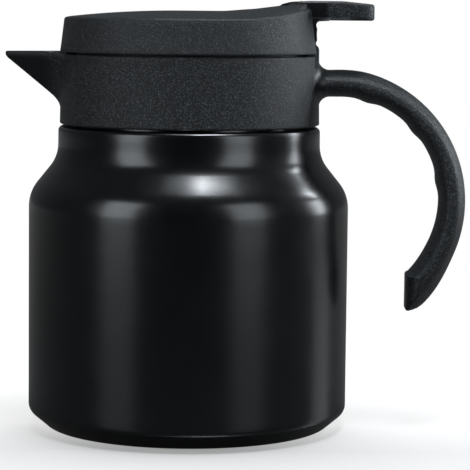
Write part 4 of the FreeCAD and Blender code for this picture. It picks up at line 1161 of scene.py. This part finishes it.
def make_world():
    """A dim room, darker still in reflections from the front, and white behind the part."""
    world = bpy.data.worlds.new("studio")
    bpy.context.scene.world = world
    world.use_nodes = True
    nodes = world.node_tree.nodes
    links = world.node_tree.links
    room = background(nodes, ROOM_COLOUR, ROOM_LIGHT)
    dim = background(nodes, ROOM_COLOUR)
    white = background(nodes, WHITE)
    path = nodes.new("ShaderNodeLightPath")
    place = nodes.new("ShaderNodeTexCoord")
    depth = depth_of(nodes, links, place.outputs["Generated"])
    links.new(ramp(nodes, links, depth, -1, 1, *ROOM_REFLECTION), dim.inputs["Strength"])
    quiet = mixed(nodes, links, path.outputs["Is Glossy Ray"], room.outputs[0], dim.outputs[0])
    surface = mixed(nodes, links, path.outputs["Is Camera Ray"], quiet, white.outputs[0])
    links.new(surface, nodes["World Output"].inputs["Surface"])


def make_lamp(name, side_angle, elevation, distance, width, height, radiance):
    turn = math.radians(side_angle)
    rise = math.radians(elevation)
    away = np.array((math.sin(turn) * math.cos(rise), -math.cos(turn) * math.cos(rise), math.sin(rise)))
    lamp = bpy.data.lights.new(name, "AREA")
    lamp.shape = "RECTANGLE"
    lamp.size = width
    lamp.size_y = height
    lamp.energy = radiance * math.pi * width * height
    lamp.color = LAMP_COLOUR
    thing = bpy.data.objects.new(name, lamp)
    bpy.context.scene.collection.objects.link(thing)
    back = unit(away)
    across = unit(np.cross((0, 0, 1), back))
    up = np.cross(back, across)
    place = AIM + away * distance
    thing.matrix_world = Matrix((
        (across[0], up[0], back[0], place[0]),
        (across[1], up[1], back[1], place[1]),
        (across[2], up[2], back[2], place[2]),
        (0, 0, 0, 1)))


# Camera: place in metres, angles in radians, lengths on the picture in pixels

CAMERA_PLACE = (0.0170, -0.8180, 0.15246)
CAMERA_PITCH = 0.1005
CAMERA_ROLL = 0.0105
CAMERA_FOCAL_PIXELS = 2253.2
PICTURE_PIXELS = 470
SENSOR_WIDTH = 36.0


def make_camera():
    camera = bpy.data.cameras.new("camera")
    camera.sensor_width = SENSOR_WIDTH
    camera.lens = CAMERA_FOCAL_PIXELS / PICTURE_PIXELS * SENSOR_WIDTH
    thing = bpy.data.objects.new("camera", camera)
    bpy.context.scene.collection.objects.link(thing)
    tilt = Matrix.Rotation(math.pi / 2 - CAMERA_PITCH, 4, "X")
    roll = Matrix.Rotation(CAMERA_ROLL, 4, "Z")
    thing.matrix_world = Matrix.Translation(CAMERA_PLACE) @ tilt @ roll
    bpy.context.scene.camera = thing


dress()
make_floor()
make_world()
for lamp_row in LAMPS:
    make_lamp(*lamp_row)
make_camera()
bpy.context.scene.view_settings.view_transform = "Standard"
